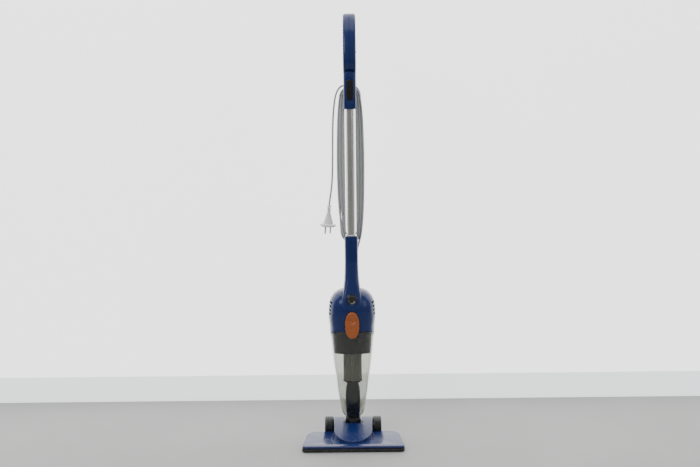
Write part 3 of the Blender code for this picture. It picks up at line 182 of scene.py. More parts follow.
def slab(name, corners, radii, low, high, segments=14):
    # a plate whose four corners are rounded one by one, then raised
    pick()
    bpy.ops.mesh.primitive_plane_add(size=1.0)
    obj = bpy.context.object
    obj.name = name
    order = sorted(range(4), key=lambda i: (obj.data.vertices[i].co.y, obj.data.vertices[i].co.x))
    for index, (x, y) in zip(order, [corners[0], corners[1], corners[3], corners[2]]):
        obj.data.vertices[index].co = (x, y, low)
    editMode()
    bpy.ops.mesh.select_mode(type="VERT")
    bpy.ops.mesh.select_all(action="DESELECT")
    objectMode()
    for (x, y), radius in zip(corners, radii):
        for v in obj.data.vertices:
            v.select = abs(v.co.x - x) < 1e-5 and abs(v.co.y - y) < 1e-5
        editMode()
        bpy.ops.mesh.select_mode(type="VERT")
        bpy.ops.mesh.bevel(offset=radius, segments=segments, affect="VERTICES")
        bpy.ops.mesh.select_all(action="DESELECT")
        objectMode()
    editAll()
    bpy.ops.mesh.extrude_region_move(TRANSFORM_OT_translate={"value": (0, 0, high - low)})
    objectMode()
    return faceOut(obj)


def box(name, low, high):
    pick()
    size = [b - a for a, b in zip(low, high)]
    middle = [(a + b) / 2 for a, b in zip(low, high)]
    bpy.ops.mesh.primitive_cube_add(size=1.0, location=middle, scale=size)
    obj = bpy.context.object
    obj.name = name
    bpy.ops.object.transform_apply(location=True, rotation=True, scale=True)
    return obj


def rod(name, radius, length, place, turn=None, sides=64):
    obj = turnedPiece(name, [(radius, -length / 2), (radius, length / 2)], sides)
    return placed(obj, place, turn)


def joined(first, *others):
    pick(first, *others)
    bpy.ops.object.join()
    return first


def refined(node, name, bevel=0.0004, segments=2, angle=32):
    # a merged copy of a frame piece, with its hard edges rounded
    obj = nodes[node].copy()
    obj.data = nodes[node].data.copy()
    obj.name = name
    obj.parent = None
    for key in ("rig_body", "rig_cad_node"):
        if key in obj:
            del obj[key]
    bpy.context.scene.collection.objects.link(obj)
    pick(obj)
    if obj.data.has_custom_normals:
        bpy.ops.mesh.customdata_custom_splitnormals_clear()
    editAll()
    bpy.ops.mesh.remove_doubles(threshold=1e-6)
    bpy.ops.mesh.tris_convert_to_quads(face_threshold=math.radians(30), shape_threshold=math.radians(60))
    objectMode()
    if bevel:
        softenEdges(obj, bevel, segments, angle)
    return obj


def eased(rows, at):
    # a smooth curve through the rows of a table, with no overshoot
    if at <= rows[0][0]:
        return rows[0][1:]
    if at >= rows[-1][0]:
        return rows[-1][1:]
    k = max(i for i, row in enumerate(rows[:-1]) if row[0] <= at)
    low, high = rows[k], rows[k + 1]
    span = high[0] - low[0]
    t = (at - low[0]) / span
    found = []
    for c in range(1, len(low)):
        def slope(i):
            if i <= 0 or i >= len(rows) - 1:
                return (rows[min(i + 1, len(rows) - 1)][c] - rows[max(i - 1, 0)][c]) / (
                    rows[min(i + 1, len(rows) - 1)][0] - rows[max(i - 1, 0)][0]
                )
            a = (rows[i][c] - rows[i - 1][c]) / (rows[i][0] - rows[i - 1][0])
            b = (rows[i + 1][c] - rows[i][c]) / (rows[i + 1][0] - rows[i][0])
            return 0.0 if a * b <= 0 else 2 * a * b / (a + b)
        m0, m1 = slope(k) * span, slope(k + 1) * span
        p0, p1 = low[c], high[c]
        found.append(
            (2 * t**3 - 3 * t**2 + 1) * p0 + (t**3 - 2 * t**2 + t) * m0
            + (3 * t**2 - 2 * t**3) * p1 + (t**3 - t**2) * m1
        )
    return tuple(found)


def finished(obj, material, body, stands=(), angle=34):
    pick(obj)
    bpy.ops.object.shade_smooth_by_angle(angle=math.radians(angle))
    obj.data.materials.clear()
    obj.data.materials.append(material)
    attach(obj, body)
    if stands:
        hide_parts(*stands)
    return obj


# camera
cameraSizes = {"place": (0.0008, -2.51, 0.9232), "tilt": 90 - 8.41, "roll": 0.6,
               "lens": 50.91}
lens = bpy.data.cameras.new("camera")
lens.lens = cameraSizes["lens"]
lens.sensor_width = 36.0
camera = bpy.data.objects.new("camera", lens)
camera.location = cameraSizes["place"]
camera.rotation_euler = (math.radians(cameraSizes["tilt"]), math.radians(cameraSizes["roll"]), 0)
bpy.context.scene.collection.objects.link(camera)
bpy.context.scene.camera = camera


# shader groups
def newGroup(name, inputs, outputs):
    group = bpy.data.node_groups.new(name, "ShaderNodeTree")
    for label, kind, value in inputs:
        socket = group.interface.new_socket(name=label, in_out="INPUT", socket_type=kind)
        if value is not None:
            socket.default_value = value
    for label, kind in outputs:
        group.interface.new_socket(name=label, in_out="OUTPUT", socket_type=kind)
    return group, group.nodes.new("NodeGroupInput"), group.nodes.new("NodeGroupOutput")


def addNode(tree, kind, values=None, **settings):
    node = tree.nodes.new(kind)
    for key, value in settings.items():
        setattr(node, key, value)
    for key, value in (values or {}).items():
        node.inputs[key].default_value = value
    return node


def mixColour(tree, factor, first, second, blend="MIX"):
    node = addNode(tree, "ShaderNodeMix", data_type="RGBA", blend_type=blend)
    sockets = [s for s in node.inputs if s.enabled]
    for socket, value in zip((sockets[0], sockets[1], sockets[2]), (factor, first, second)):
        if hasattr(value, "is_output"):
            tree.links.new(value, socket)
        else:
            socket.default_value = value
    return [s for s in node.outputs if s.enabled][0]


def ranged(tree, value, low, high, toLow, toHigh):
    node = addNode(tree, "ShaderNodeMapRange", {"From Min": low, "From Max": high})
    for label, target in (("To Min", toLow), ("To Max", toHigh)):
        if hasattr(target, "is_output"):
            tree.links.new(target, node.inputs[label])
        else:
            node.inputs[label].default_value = target
    tree.links.new(value, node.inputs["Value"])
    return node.outputs["Result"]


def mouldedGroup():
    # smudges, slight colour drift and the fine texture that a mould leaves
    colour, number, vector = "NodeSocketColor", "NodeSocketFloat", "NodeSocketVector"
    tree, given, out = newGroup(
        "mouldedFinish",
        [("Vector", vector, None), ("Colour", colour, None), ("Drift", number, 0.06),
         ("Smooth", number, 0.15), ("Rough", number, 0.3), ("Grain", number, 900.0),
         ("Smudge", number, 22.0)],
        [("Colour", colour), ("Roughness", number), ("Height", number)],
    )
    link = tree.links.new
    smudge = addNode(tree, "ShaderNodeTexNoise", {"Detail": 5.0, "Roughness": 0.62, "Distortion": 0.6})
    link(given.outputs["Vector"], smudge.inputs["Vector"])
    link(given.outputs["Smudge"], smudge.inputs["Scale"])
    rough = ranged(tree, smudge.outputs["Fac"], 0.35, 0.68, given.outputs["Smooth"], given.outputs["Rough"])
    link(rough, out.inputs["Roughness"])
    drift = addNode(tree, "ShaderNodeTexNoise", {"Scale": 9.0, "Detail": 3.0})
    link(given.outputs["Vector"], drift.inputs["Vector"])
    light = addNode(tree, "ShaderNodeMath", operation="MULTIPLY_ADD")
    centred = addNode(tree, "ShaderNodeMath", {1: 0.5}, operation="SUBTRACT")
    link(drift.outputs["Fac"], centred.inputs[0])
    link(centred.outputs[0], light.inputs[0])
    link(given.outputs["Drift"], light.inputs[1])
    light.inputs[2].default_value = 1.0
    tint = addNode(tree, "ShaderNodeVectorMath", operation="SCALE")
    link(given.outputs["Colour"], tint.inputs[0])
    link(light.outputs[0], tint.inputs["Scale"])
    link(tint.outputs[0], out.inputs["Colour"])
    grain = addNode(tree, "ShaderNodeTexNoise", {"Detail": 2.0, "Roughness": 0.5})
    link(given.outputs["Vector"], grain.inputs["Vector"])
    link(given.outputs["Grain"], grain.inputs["Scale"])
    link(grain.outputs["Fac"], out.inputs["Height"])
    return tree


def dustGroup():
    # floor dust that gathers low down and thins out with height
    colour, number, vector = "NodeSocketColor", "NodeSocketFloat", "NodeSocketVector"
    tree, given, out = newGroup(
        "floorDust",
        [("Vector", vector, None), ("Colour", colour, None), ("Dust", colour, (0.34, 0.33, 0.30, 1)),
         ("Reach", number, 0.03), ("Amount", number, 0.25)],
        [("Colour", colour)],
    )
    link = tree.links.new
    split = addNode(tree, "ShaderNodeSeparateXYZ")
    link(given.outputs["Vector"], split.inputs[0])
    share = addNode(tree, "ShaderNodeMath", operation="DIVIDE")
    link(split.outputs["Z"], share.inputs[0])
    link(given.outputs["Reach"], share.inputs[1])
    fade = ranged(tree, share.outputs[0], 0.0, 1.0, 1.0, 0.0)
    specks = addNode(tree, "ShaderNodeTexNoise", {"Scale": 160.0, "Detail": 6.0, "Roughness": 0.7})
    link(given.outputs["Vector"], specks.inputs["Vector"])
    spots = ranged(tree, specks.outputs["Fac"], 0.42, 0.7, 0.0, 1.0)
    both = addNode(tree, "ShaderNodeMath", operation="MULTIPLY")
    link(fade, both.inputs[0])
    link(spots, both.inputs[1])
    amount = addNode(tree, "ShaderNodeMath", operation="MULTIPLY", use_clamp=True)
    link(both.outputs[0], amount.inputs[0])
    link(given.outputs["Amount"], amount.inputs[1])
    mixed = mixColour(tree, amount.outputs[0], given.outputs["Colour"], given.outputs["Dust"])
    link(mixed, out.inputs["Colour"])
    return tree


def drawnGroup():
    # fine lines along Z, as drawing and brushing leave on a tube
    number, vector = "NodeSocketFloat", "NodeSocketVector"
    tree, given, out = newGroup(
        "drawnLines",
        [("Vector", vector, None), ("Stretch", vector, (1200.0, 1200.0, 9.0)), ("Smooth", number, 0.2),
         ("Rough", number, 0.4)],
        [("Roughness", number), ("Height", number)],
    )
    link = tree.links.new
    stretch = addNode(tree, "ShaderNodeVectorMath", operation="MULTIPLY")
    link(given.outputs["Vector"], stretch.inputs[0])
    link(given.outputs["Stretch"], stretch.inputs[1])
    lines = addNode(tree, "ShaderNodeTexNoise", {"Scale": 1.0, "Detail": 4.0, "Roughness": 0.6})
    link(stretch.outputs[0], lines.inputs["Vector"])
    rough = ranged(tree, lines.outputs["Fac"], 0.3, 0.7, given.outputs["Smooth"], given.outputs["Rough"])
    link(rough, out.inputs["Roughness"])
    link(lines.outputs["Fac"], out.inputs["Height"])
    return tree


mouldedFinish, floorDust, drawnLines = mouldedGroup(), dustGroup(), drawnGroup()


def startMaterial(name):
    material = bpy.data.materials.new(name)
    material.use_nodes = True
    tree = material.node_tree
    shader = tree.nodes["Principled BSDF"]
    where = tree.nodes.new("ShaderNodeTexCoord").outputs["Object"]
    return material, tree, shader, where


def useGroup(tree, group, where, values):
    node = tree.nodes.new("ShaderNodeGroup")
    node.node_tree = group
    tree.links.new(where, node.inputs["Vector"])
    for key, value in values.items():
        node.inputs[key].default_value = value
    return node


def addBump(tree, shader, height, strength, distance):
    bump = addNode(tree, "ShaderNodeBump", {"Strength": strength, "Distance": distance})
    tree.links.new(height, bump.inputs["Height"])
    tree.links.new(bump.outputs["Normal"], shader.inputs["Normal"])


def moulded(name, colour, smooth, rough, grain=900.0, bump=0.05, drift=0.1, coat=0.0, dust=0.0, reach=0.03,
            smudge=22.0, specular=0.5):
    material, tree, shader, where = startMaterial(name)
    finish = useGroup(tree, mouldedFinish, where, {
        "Colour": (*colour, 1), "Drift": drift, "Smooth": smooth, "Rough": rough, "Grain": grain,
        "Smudge": smudge})
    shade = finish.outputs["Colour"]
    if dust:
        dusty = useGroup(tree, floorDust, where, {"Amount": dust, "Reach": reach})
        tree.links.new(shade, dusty.inputs["Colour"])
        shade = dusty.outputs["Colour"]
    tree.links.new(shade, shader.inputs["Base Color"])
    tree.links.new(finish.outputs["Roughness"], shader.inputs["Roughness"])
    shader.inputs["Specular IOR Level"].default_value = specular
    shader.inputs["Coat Weight"].default_value = coat
    shader.inputs["Coat Roughness"].default_value = 0.06
    addBump(tree, shader, finish.outputs["Height"], bump, 0.0004)
    return material


def metal(name, colour, smooth, rough, stretch, bump=0.05):
    material, tree, shader, where = startMaterial(name)
    lines = useGroup(tree, drawnLines, where, {"Stretch": stretch, "Smooth": smooth, "Rough": rough})
    drift = addNode(tree, "ShaderNodeTexNoise", {"Scale": 14.0, "Detail": 3.0})
    tree.links.new(where, drift.inputs["Vector"])
    dark = tuple(c * 0.82 for c in colour)
    shade = mixColour(tree, drift.outputs["Fac"], (*dark, 1), (*colour, 1))
    tree.links.new(shade, shader.inputs["Base Color"])
    tree.links.new(lines.outputs["Roughness"], shader.inputs["Roughness"])
    shader.inputs["Metallic"].default_value = 1.0
    addBump(tree, shader, lines.outputs["Height"], bump, 0.0003)
    return material


blue = moulded("blueGlossPlastic", (0.0085, 0.0205, 0.1020), 0.16, 0.30, 1100, 0.03, 0.16, coat=0.10,
               specular=0.28)
# the floor head's and yoke's copy of the blue: its colour is painted a little lighter than the body's, as
# painted light standing in for the grazing reflection on the head's top; the specks mixed in low down are
# floor dust
blueLowPaintedLighter = moulded("blueGlossPlasticByTheFloorPaintedLighter", (0.0090, 0.0215, 0.1080), 0.16, 0.32, 1100, 0.03, 0.16,
                  coat=0.15,
                  dust=0.07, reach=0.030)
black = moulded("blackPlastic", (0.0045, 0.0045, 0.0055), 0.22, 0.40, 1400, 0.10, 0.3)
blackLow = moulded("blackPlasticByTheFloor", (0.0060, 0.0060, 0.0065), 0.26, 0.46, 1400, 0.12, 0.3,
                   dust=0.10, reach=0.05)
orange = moulded("orangePlastic", (0.370, 0.086, 0.0105), 0.24, 0.38, 1500, 0.06, 0.12, coat=0.2)
rubber = moulded("blackRubber", (0.010, 0.010, 0.0105), 0.50, 0.72, 1800, 0.25, 0.4, dust=0.10, reach=0.05)
tyreRubber = moulded("tyreRubber", (0.012, 0.012, 0.0125), 0.28, 0.42, 1500, 0.10, 0.4, dust=0.10,
                     reach=0.05)
media = moulded("pleatedPaper", (0.42, 0.41, 0.375), 0.80, 0.95, 700, 0.35, 0.2)
cordGrey = moulded("greyCordSheath", (0.43, 0.44, 0.445), 0.36, 0.52, 1600, 0.08, 0.12)
plugWhite = moulded("whitePlugVinyl", (0.80, 0.80, 0.79), 0.28, 0.45, 1200, 0.05, 0.06)
darkGloss = moulded("blackGlossPlastic", (0.0045, 0.0045, 0.0055), 0.06, 0.14, 900, 0.02, 0.2, coat=0.6)
bristle = moulded("nylonBristle", (0.03, 0.03, 0.032), 0.55, 0.8, 2600, 0.6, 0.6)
steel = metal("brushedSteel", (0.58, 0.565, 0.53), 0.20, 0.36, (1500.0, 1500.0, 7.0))
darkSteel = metal("turnedSteel", (0.42, 0.42, 0.42), 0.25, 0.45, (900.0, 900.0, 900.0))
copper = metal("lacqueredCopper", (0.72, 0.30, 0.13), 0.25, 0.45, (300.0, 300.0, 2600.0), 0.4)
nickel = metal("nickelPlate", (0.78, 0.77, 0.74), 0.10, 0.22, (500.0, 500.0, 500.0), 0.02)


def smokedClear():
    material, tree, shader, where = startMaterial("smokedClearPlastic")
    finish = useGroup(tree, mouldedFinish, where, {
        "Colour": (0.60, 0.61, 0.565, 1), "Drift": 0.10, "Smooth": 0.03, "Rough": 0.14, "Grain": 500.0,
        "Smudge": 16.0})
    tree.links.new(finish.outputs["Colour"], shader.inputs["Base Color"])
    tree.links.new(finish.outputs["Roughness"], shader.inputs["Roughness"])
    shader.inputs["Transmission Weight"].default_value = 1.0
    shader.inputs["IOR"].default_value = 1.5
    addBump(tree, shader, finish.outputs["Height"], 0.02, 0.0003)
    return material


smoke = smokedClear()
print("materials made")

# cord, plug and lead
cordSizes = {"radius": 0.0025, "length": 5.7, "layers": (0.0253, 0.0311, 0.0369)}


def sideStrand(x0, y0, x1, y1, bulge, up):
    # a loose run between the hooks, bowed outwards
    spots = []
    for k in range(1, 9):
        t = k / 9
        rise = math.sin(math.pi * t) ** 0.5
        plain = x0 + (x1 - x0) * t
        x = plain + (math.copysign(bulge, plain) - plain) * rise
        y = y0 + (y1 - y0) * t
        z = lowerHookZ + (upperHookZ - lowerHookZ) * (t if up else 1 - t)
        spots.append((x, y, z))
    return spots


def hookArc(radius, y, z, start, sweep, radiusEnd=None):
    spots = []
    for k in range(9):
        angle = math.radians(start + sweep * k / 8)
        r = radius + ((radiusEnd or radius) - radius) * k / 8
        spots.append((r * math.cos(angle), y, z + r * math.sin(angle)))
    return spots


def cordRoute():
    front, middle, back = cordSizes["layers"]
    slots = [(0.0258, front), (0.0208, front), (0.0158, front), (0.0158, middle), (0.0158, back),
             (0.0208, back),
             (0.0258, middle)]
    rightBulge = [0.0335, 0.0270, 0.0205, 0.0160, 0.0185, 0.0240, 0.0305]
    leftBulge = [0.0330, 0.0262, 0.0195, 0.0165, 0.0228, 0.0298]
    low, high = 0.4358, lowerHookZ - 0.0225
    lead = [(0.0, 0.0410, 0.0), (0.0004, 0.0412, 0.16), (0.0040, 0.0405, 0.37), (0.0105, 0.0375, 0.58),
            (0.0165, 0.0330, 0.79), (0.0209, 0.0288, 1.0)]
    spots = [(x, y, low + (high - low) * t) for x, y, t in lead]
    spots.append((0.0252, 0.0258, lowerHookZ - 0.0115))
    for k, (r, y) in enumerate(slots):
        spots += sideStrand(r, y, r, y, rightBulge[k], True)
        if k == len(slots) - 1:
            break
        spots += hookArc(r, y, upperHookZ, 0, 180)
        r2, y2 = slots[k + 1]
        spots += sideStrand(-r, y, -r2, y2, leftBulge[k], False)
        spots += hookArc(r2, y2, lowerHookZ, 180, 180)
    spots += hookArc(0.0258, middle, upperHookZ, 0, 100, 0.0325)[:-1]
    tail = [(-0.0175, 0.0285, 0.0297), (-0.0255, 0.0285, 0.0252), (-0.0318, 0.0285, 0.0164),
            (-0.0362, 0.0286, 0.0048),
            (-0.0392, 0.0287, -0.0097), (-0.0420, 0.0288, -0.0339), (-0.0440, 0.0290, -0.0612),
            (-0.0451, 0.0292, -0.0964), (-0.0456, 0.0295, -0.1407), (-0.0463, 0.0298, -0.1872),
            (-0.0482, 0.0300, -0.2199), (-0.0510, 0.0300, -0.2424), (-0.0541, 0.0300, -0.2606),
            (-0.0560, 0.0300, -0.2752)]
    return spots + [(x, y, upperHookZ + z) for x, y, z in tail]


def makeCord():
    line = bpy.data.curves.new("mainsCord", "CURVE")
    line.dimensions = "3D"
    spline = line.splines.new("NURBS")
    route = cordRoute()
    spline.points.add(len(route) - 1)
    for spot, point in zip(spline.points, route):
        spot.co = (*point, 1.0)
    spline.order_u = 4
    spline.use_endpoint_u = True
    spline.resolution_u = 5
    line.bevel_depth = cordSizes["radius"]
    line.bevel_resolution = 3
    line.use_fill_caps = True
    cord = bpy.data.objects.new("mainsCord", line)
    bpy.context.scene.collection.objects.link(cord)
    line.materials.append(cordGrey)
    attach(cord, "motor_unit")
    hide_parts("cord_lead", "cord_winding", "cord_tail")
    length = 0.0
    for a, b in zip(route, route[1:]):
        length += (Vector(b) - Vector(a)).length
    print("cord route", round(length, 3), "m")
    return cord


plugTop = Vector((-0.0560, 0.0300, upperHookZ - 0.2757))
plugTurn = Matrix.Rotation(math.radians(4), 3, "Y") @ Matrix.Rotation(math.radians(48), 3, "Z")


def makePlug():
    ribs = {"first": 0.0030, "pitch": 0.0050, "count": 4, "root": 0.0031, "crest": 0.0060}
    relief = [(0.0030, 0.0), (0.0048, -0.0004), (0.0056, -0.0016)]
    for k in range(ribs["count"]):
        z = -ribs["first"] - k * ribs["pitch"]
        crest = ribs["crest"] + 0.00015 * k
        relief += [(crest, z + 0.0006), (crest + 0.0002, z), (crest, z - 0.0008), (ribs["root"], z - 0.0014),
                   (ribs["root"], z - 0.0032), (crest, z - 0.0040)]
    relief += [(0.0064, -0.0240), (0.0064, -0.0255)]
    body = [(0.0060, -0.0258), (0.0068, -0.0262), (0.0079, -0.0300), (0.0092, -0.0345), (0.0108, -0.0390),
            (0.0119, -0.0430), (0.0125, -0.0465), (0.0130, -0.0482), (0.0160, -0.0494), (0.0192, -0.0499),
            (0.0202, -0.0504), (0.0206, -0.0514), (0.0206, -0.0536), (0.0202, -0.0543), (0.0190, -0.0547),
            (0.0172, -0.0552), (0.0165, -0.0562)]
    reliefPiece = placed(turnedPiece("plugRibs", relief, 48), plugTop, plugTurn)
    shell = placed(turnedPiece("plugShell", body, 72), plugTop, plugTurn)
    pieces = [
        finished(reliefPiece, plugWhite, "motor_unit", ["plug_relief"], 28),
        finished(shell, plugWhite, "motor_unit", ["plug_body"], 28),
    ]
    for name, side in (("left", -1), ("right", 1)):
        pin = [(0.0024, 0.0095), (0.0024, -0.0070), (0.0021, -0.0084), (0.0013, -0.0093), (0.0004, -0.0095)]
        spot = plugTop + plugTurn @ Vector((side * 0.0095, 0, -0.0565 - 0.0095))
        pinPiece = placed(turnedPiece(f"plugPin{name.title()}", pin, 32), spot, plugTurn)
        pieces.append(finished(pinPiece, nickel, "motor_unit", [f"plug_pin_{name}"]))
    return pieces


mainsCord = makeCord()
plugPieces = makePlug()
print("cord and plug made")


# floor head
headSizes = {"half": 0.1335, "backHalf": 0.1205, "front": -0.091, "back": 0.013, "corner": 0.013,
             "backCorner": 0.024,
             "rise": 0.0048, "edge": 0.0160, "shellLow": 0.0093, "skirtTop": 0.0090}
yokeSizes = {"half": 0.0498, "front": -0.069, "back": 0.050, "frontZ": 0.0205, "backZ": 0.048, "crown": 1.7,
             "slotHalf": 0.0222, "slotFront": 0.0100}


def headSlab(name, inset, low, high):
    s = headSizes
    corners = [(-s["half"] + inset, s["front"] + inset), (s["half"] - inset, s["front"] + inset),
               (s["backHalf"] - inset, s["back"] - inset), (-s["backHalf"] + inset, s["back"] - inset)]
    radii = [s["corner"] - inset, s["corner"] - inset, s["backCorner"] - inset, s["backCorner"] - inset]
    return slab(name, corners, radii, low, high)


def yokeSlab(name, grow, low, high):
    s = yokeSizes
    half = s["half"] + grow
    corners = [(-half, s["front"] - grow), (half, s["front"] - grow), (half, s["back"] + grow),
               (-half, s["back"] + grow)]
    return slab(name, corners, [half - 0.0001, half - 0.0001, 0.006, 0.006], low, high, 28)


def yokeTopZ(y):
    s = yokeSizes
    left = max(0.0, (s["back"] - y) / (s["back"] - s["front"]))
    return s["backZ"] - (s["backZ"] - s["frontZ"]) * min(1.0, left) ** s["crown"]


def makeHeadShell():
    s = headSizes
    shell = headSlab("headShell", 0.0007, s["shellLow"], s["edge"])
    for v in shell.data.vertices:
        if v.co.z > s["edge"] - 0.0001:
            v.co.z += s["rise"] * (v.co.y - s["front"]) / (s["back"] - s["front"])
    softenEdges(shell, 0.0034, 5, 50)
    cutWith(shell, yokeSlab("yokeHole", 0.0004, -0.01, 0.08))
    for side in (-1, 1):
        well = rod("well", 0.0287, 0.030, (side * 0.0633, hingeY, hingeZ), across)
        cutWith(shell, well)
    softenEdges(shell, 0.0004, 2, 40)
    return finished(shell, blueLowPaintedLighter, "floor_head", ["head_top_shell"])


def makeSkirt():
    # the soft strip below the shell
    s = headSizes
    strip = headSlab("headSkirt", 0.0, 0.0012, s["skirtTop"])
    softenEdges(strip, 0.0009, 3, 50)
    cutWith(strip, headSlab("skirtInside", 0.0042, -0.01, 0.02))
    gap = yokeSizes["half"] + 0.002
    cutWith(strip, box("skirtGap", (-gap, s["back"] - 0.02, -0.01), (gap, s["back"] + 0.02, 0.05)))
    return finished(strip, rubber, "floor_head", ["bumper_strip"])


def makeYoke():
    s = yokeSizes
    cover = yokeSlab("yokeCover", 0.0, 0.0067, 0.07)
    steps = 28
    crown = box("crown", (-0.1, s["front"] - 0.01, 0.0), (0.1, s["back"] + 0.01, 0.06))
    pick(crown)
    editMode()
    span = s["back"] - s["front"] + 0.02
    for k in range(1, steps):
        y = s["front"] - 0.01 + span * k / steps
        bpy.ops.mesh.select_all(action="SELECT")
        bpy.ops.mesh.bisect(plane_co=(0, y, 0), plane_no=(0, 1, 0))
    objectMode()
    for v in crown.data.vertices:
        if v.co.z > 0.03:
            v.co.z = yokeTopZ(v.co.y)
    cutWith(cover, crown, operation="INTERSECT")
    cutWith(cover, box("slot", (-s["slotHalf"], s["slotFront"], -0.01),
                       (s["slotHalf"], s["back"] + 0.02, 0.1)))
    for side in (-1, 1):
        cutWith(cover, rod("axleHole", 0.0034, 0.06, (side * 0.045, hingeY, hingeZ), across, 40))
    softenEdges(cover, 0.0013, 4, 48)
    return finished(cover, blueLowPaintedLighter, "floor_head", ["yoke_cover"], 40)


def makeWheels():
    wheelSizes = {"radius": 0.0262, "width": 0.024, "x": 0.0633, "hub": 0.0217, "grooves": 3}
    half, hub, tread = wheelSizes["width"] / 2, wheelSizes["hub"], wheelSizes["radius"]
    shoulder = [(tread - 0.0040, 0.0), (tread - 0.0026, 0.0004), (tread - 0.0013, 0.0012),
                (tread - 0.0004, 0.0024),
                (tread, 0.0040)]
    tyre = [(hub + 0.0006, -half + 0.0006)] + [(r, -half + z) for r, z in shoulder]
    for k in range(wheelSizes["grooves"]):
        z = (k - 1) * 0.0050
        tyre += [(tread, z - 0.0008), (tread - 0.0009, z - 0.0005), (tread - 0.0009, z + 0.0005),
                 (tread, z + 0.0008)]
    tyre += [(r, half - z) for r, z in reversed(shoulder)] + [(hub + 0.0006, half - 0.0006)]
    disc = [(0.0033, -half + 0.001), (hub - 0.0006, -half + 0.001), (hub, -half + 0.0016),
            (hub, half - 0.0016),
            (hub - 0.0006, half - 0.001), (hub - 0.0030, half - 0.001), (hub - 0.0036, half - 0.0014),
            (hub - 0.0045, half - 0.0035), (0.0085, half - 0.0035), (0.0075, half - 0.0030),
            (0.0066, half - 0.0014),
            (0.0058, half - 0.0012), (0.0033, half - 0.0012)]
    for name, side in (("left", -1), ("right", 1)):
        facing = Matrix.Rotation(math.radians(90 * side), 3, "Y")
        spot = (side * wheelSizes["x"], hingeY, hingeZ)
        tyrePiece = placed(turnedPiece(f"tyre{name.title()}", tyre, 96, ring=True), spot, facing)
        finished(tyrePiece, tyreRubber, f"{name}_wheel", [f"tyre_{name}"])
        hubPiece = turnedPiece(f"hub{name.title()}", disc, 72, ring=True)
        for k in range(6):
            spoke = box("spoke", (0.0070, -0.0009, half - 0.0040), (hub - 0.0032, 0.0009, half - 0.0018))
            placed(spoke, (0, 0, 0), Matrix.Rotation(math.radians(60 * k), 3, "Z"))
            cutWith(hubPiece, spoke, operation="UNION")
        softenEdges(hubPiece, 0.0003, 2, 50)
        finished(placed(hubPiece, spot, facing), blackLow, f"{name}_wheel", [f"wheel_{name}"])


def makeBristles():
    # rows of tufts on a backing strip, instead of solid bars
    tuft = {"pitch": 0.0036, "half": 0.107, "radius": 0.0011, "low": 0.0006, "high": 0.0036,
            "front": -0.070, "rear": -0.040}
    for name, y in (("front", tuft["front"]), ("rear", tuft["rear"])):
        backing = box(f"bristles{name.title()}", (-tuft["half"], y - 0.0019, 0.0026),
                      (tuft["half"], y + 0.0019, 0.0037))
        made = [backing]
        count = int(2 * tuft["half"] / tuft["pitch"])
        for k in range(count):
            pick()
            x = -tuft["half"] + tuft["pitch"] * (k + 0.5)
            middle = (tuft["low"] + tuft["high"]) / 2
            bpy.ops.mesh.primitive_cone_add(
                vertices=7, radius1=tuft["radius"] * 1.35, radius2=tuft["radius"],
                depth=tuft["high"] - tuft["low"],
                location=(x, y + 0.0004 * math.sin(k * 2.3), middle))
            bpy.ops.object.transform_apply(location=True, rotation=True, scale=True)
            made.append(bpy.context.object)
        finished(joined(*made), bristle, "floor_head", [f"brush_strip_{name}"])


makeHeadShell()
makeSkirt()
makeYoke()
makeWheels()
makeBristles()
print("floor head made")

# cup, dome and neck
cupShape = ((0.000, 0.000, 0.000, 0.00), (0.020, 0.107, 0.109, 0.03), (0.060, 0.231, 0.239, 0.09),
            (0.130, 0.312, 0.322, 0.20), (0.200, 0.361, 0.375, 0.30), (0.350, 0.482, 0.487, 0.48),
            (0.490, 0.569, 0.570, 0.64), (0.630, 0.686, 0.683, 0.77), (0.770, 0.785, 0.789, 0.88),
            (0.915, 0.860, 0.872, 0.96), (1.000, 0.912, 0.932, 1.00))
domeShape = ((0.000, 0.946, 0.960), (0.190, 0.957, 0.970), (0.320, 0.987, 0.990), (0.450, 1.000, 1.000),
             (0.660, 0.977, 0.975), (0.790, 0.917, 0.905), (0.905, 0.767, 0.740), (0.970, 0.598, 0.560),
             (1.000, 0.440, 0.400))
socketShape = ((0.000, 0.0174, -0.0175, 0.0175), (0.323, 0.0172, -0.0192, 0.0180),
               (0.457, 0.0178, -0.0232, 0.0192),
               (0.565, 0.0188, -0.0280, 0.0215), (0.645, 0.0200, -0.0322, 0.0240),
               (0.726, 0.0218, -0.0368, 0.0270),
               (0.796, 0.0240, -0.0412, 0.0290), (0.860, 0.0256, -0.0450, 0.0300),
               (0.914, 0.0260, -0.0481, 0.0300),
               (0.954, 0.0244, -0.0498, 0.0300), (0.981, 0.0196, -0.0503, 0.0300),
               (0.995, 0.0130, -0.0504, 0.0300),
               (1.000, 0.0070, -0.0504, 0.0300))


def leanWithSeam(obj, low, height, share):
    for v in obj.data.vertices:
        up = min(1.0, max(0.0, (v.co.z - low) / height))
        v.co.z += seamSlope * share(up) * (bodyY - v.co.y)


def latchOval(name, grow, nearY, farY):
    stack = [(nearY, 0.0184 + grow, 0.0348 + grow, 0.0), (farY, 0.0184 + grow, 0.0348 + grow, 0.0)]
    obj = roundStack(name, stack, 72, 2.25, filled=True)
    placed(obj, (0, 0, latchZ), facingFront)
    return faceOut(obj)


def makeCup():
    wall, hole = 0.002, 0.0199
    rings = []
    for k in range(35):
        up = k / 34
        wide, deep, shift = eased(cupShape, up)
        rings.append((cupZ + up * cupHeight, hole + (bodyHalf - hole) * wide,
                      hole + (bodyDepth - hole) * deep,
                      neckY + (bodyY - neckY) * shift))
    cup = roundStack("clearCup", rings, 96, 2.5)
    faceOut(cup)
    leanWithSeam(cup, cupZ, cupHeight, lambda up: up**3)
    change = cup.modifiers.new("wall", "SOLIDIFY")
    change.thickness = wall
    change.offset = -1.0
    applyModifiers(cup)
    cutWith(cup, latchOval("cupNotch", 0.0008, 0.038, 0.07))
    softenEdges(cup, 0.0004, 2, 50)
    return finished(cup, smoke, "dust_cup", ["cup_shell"])


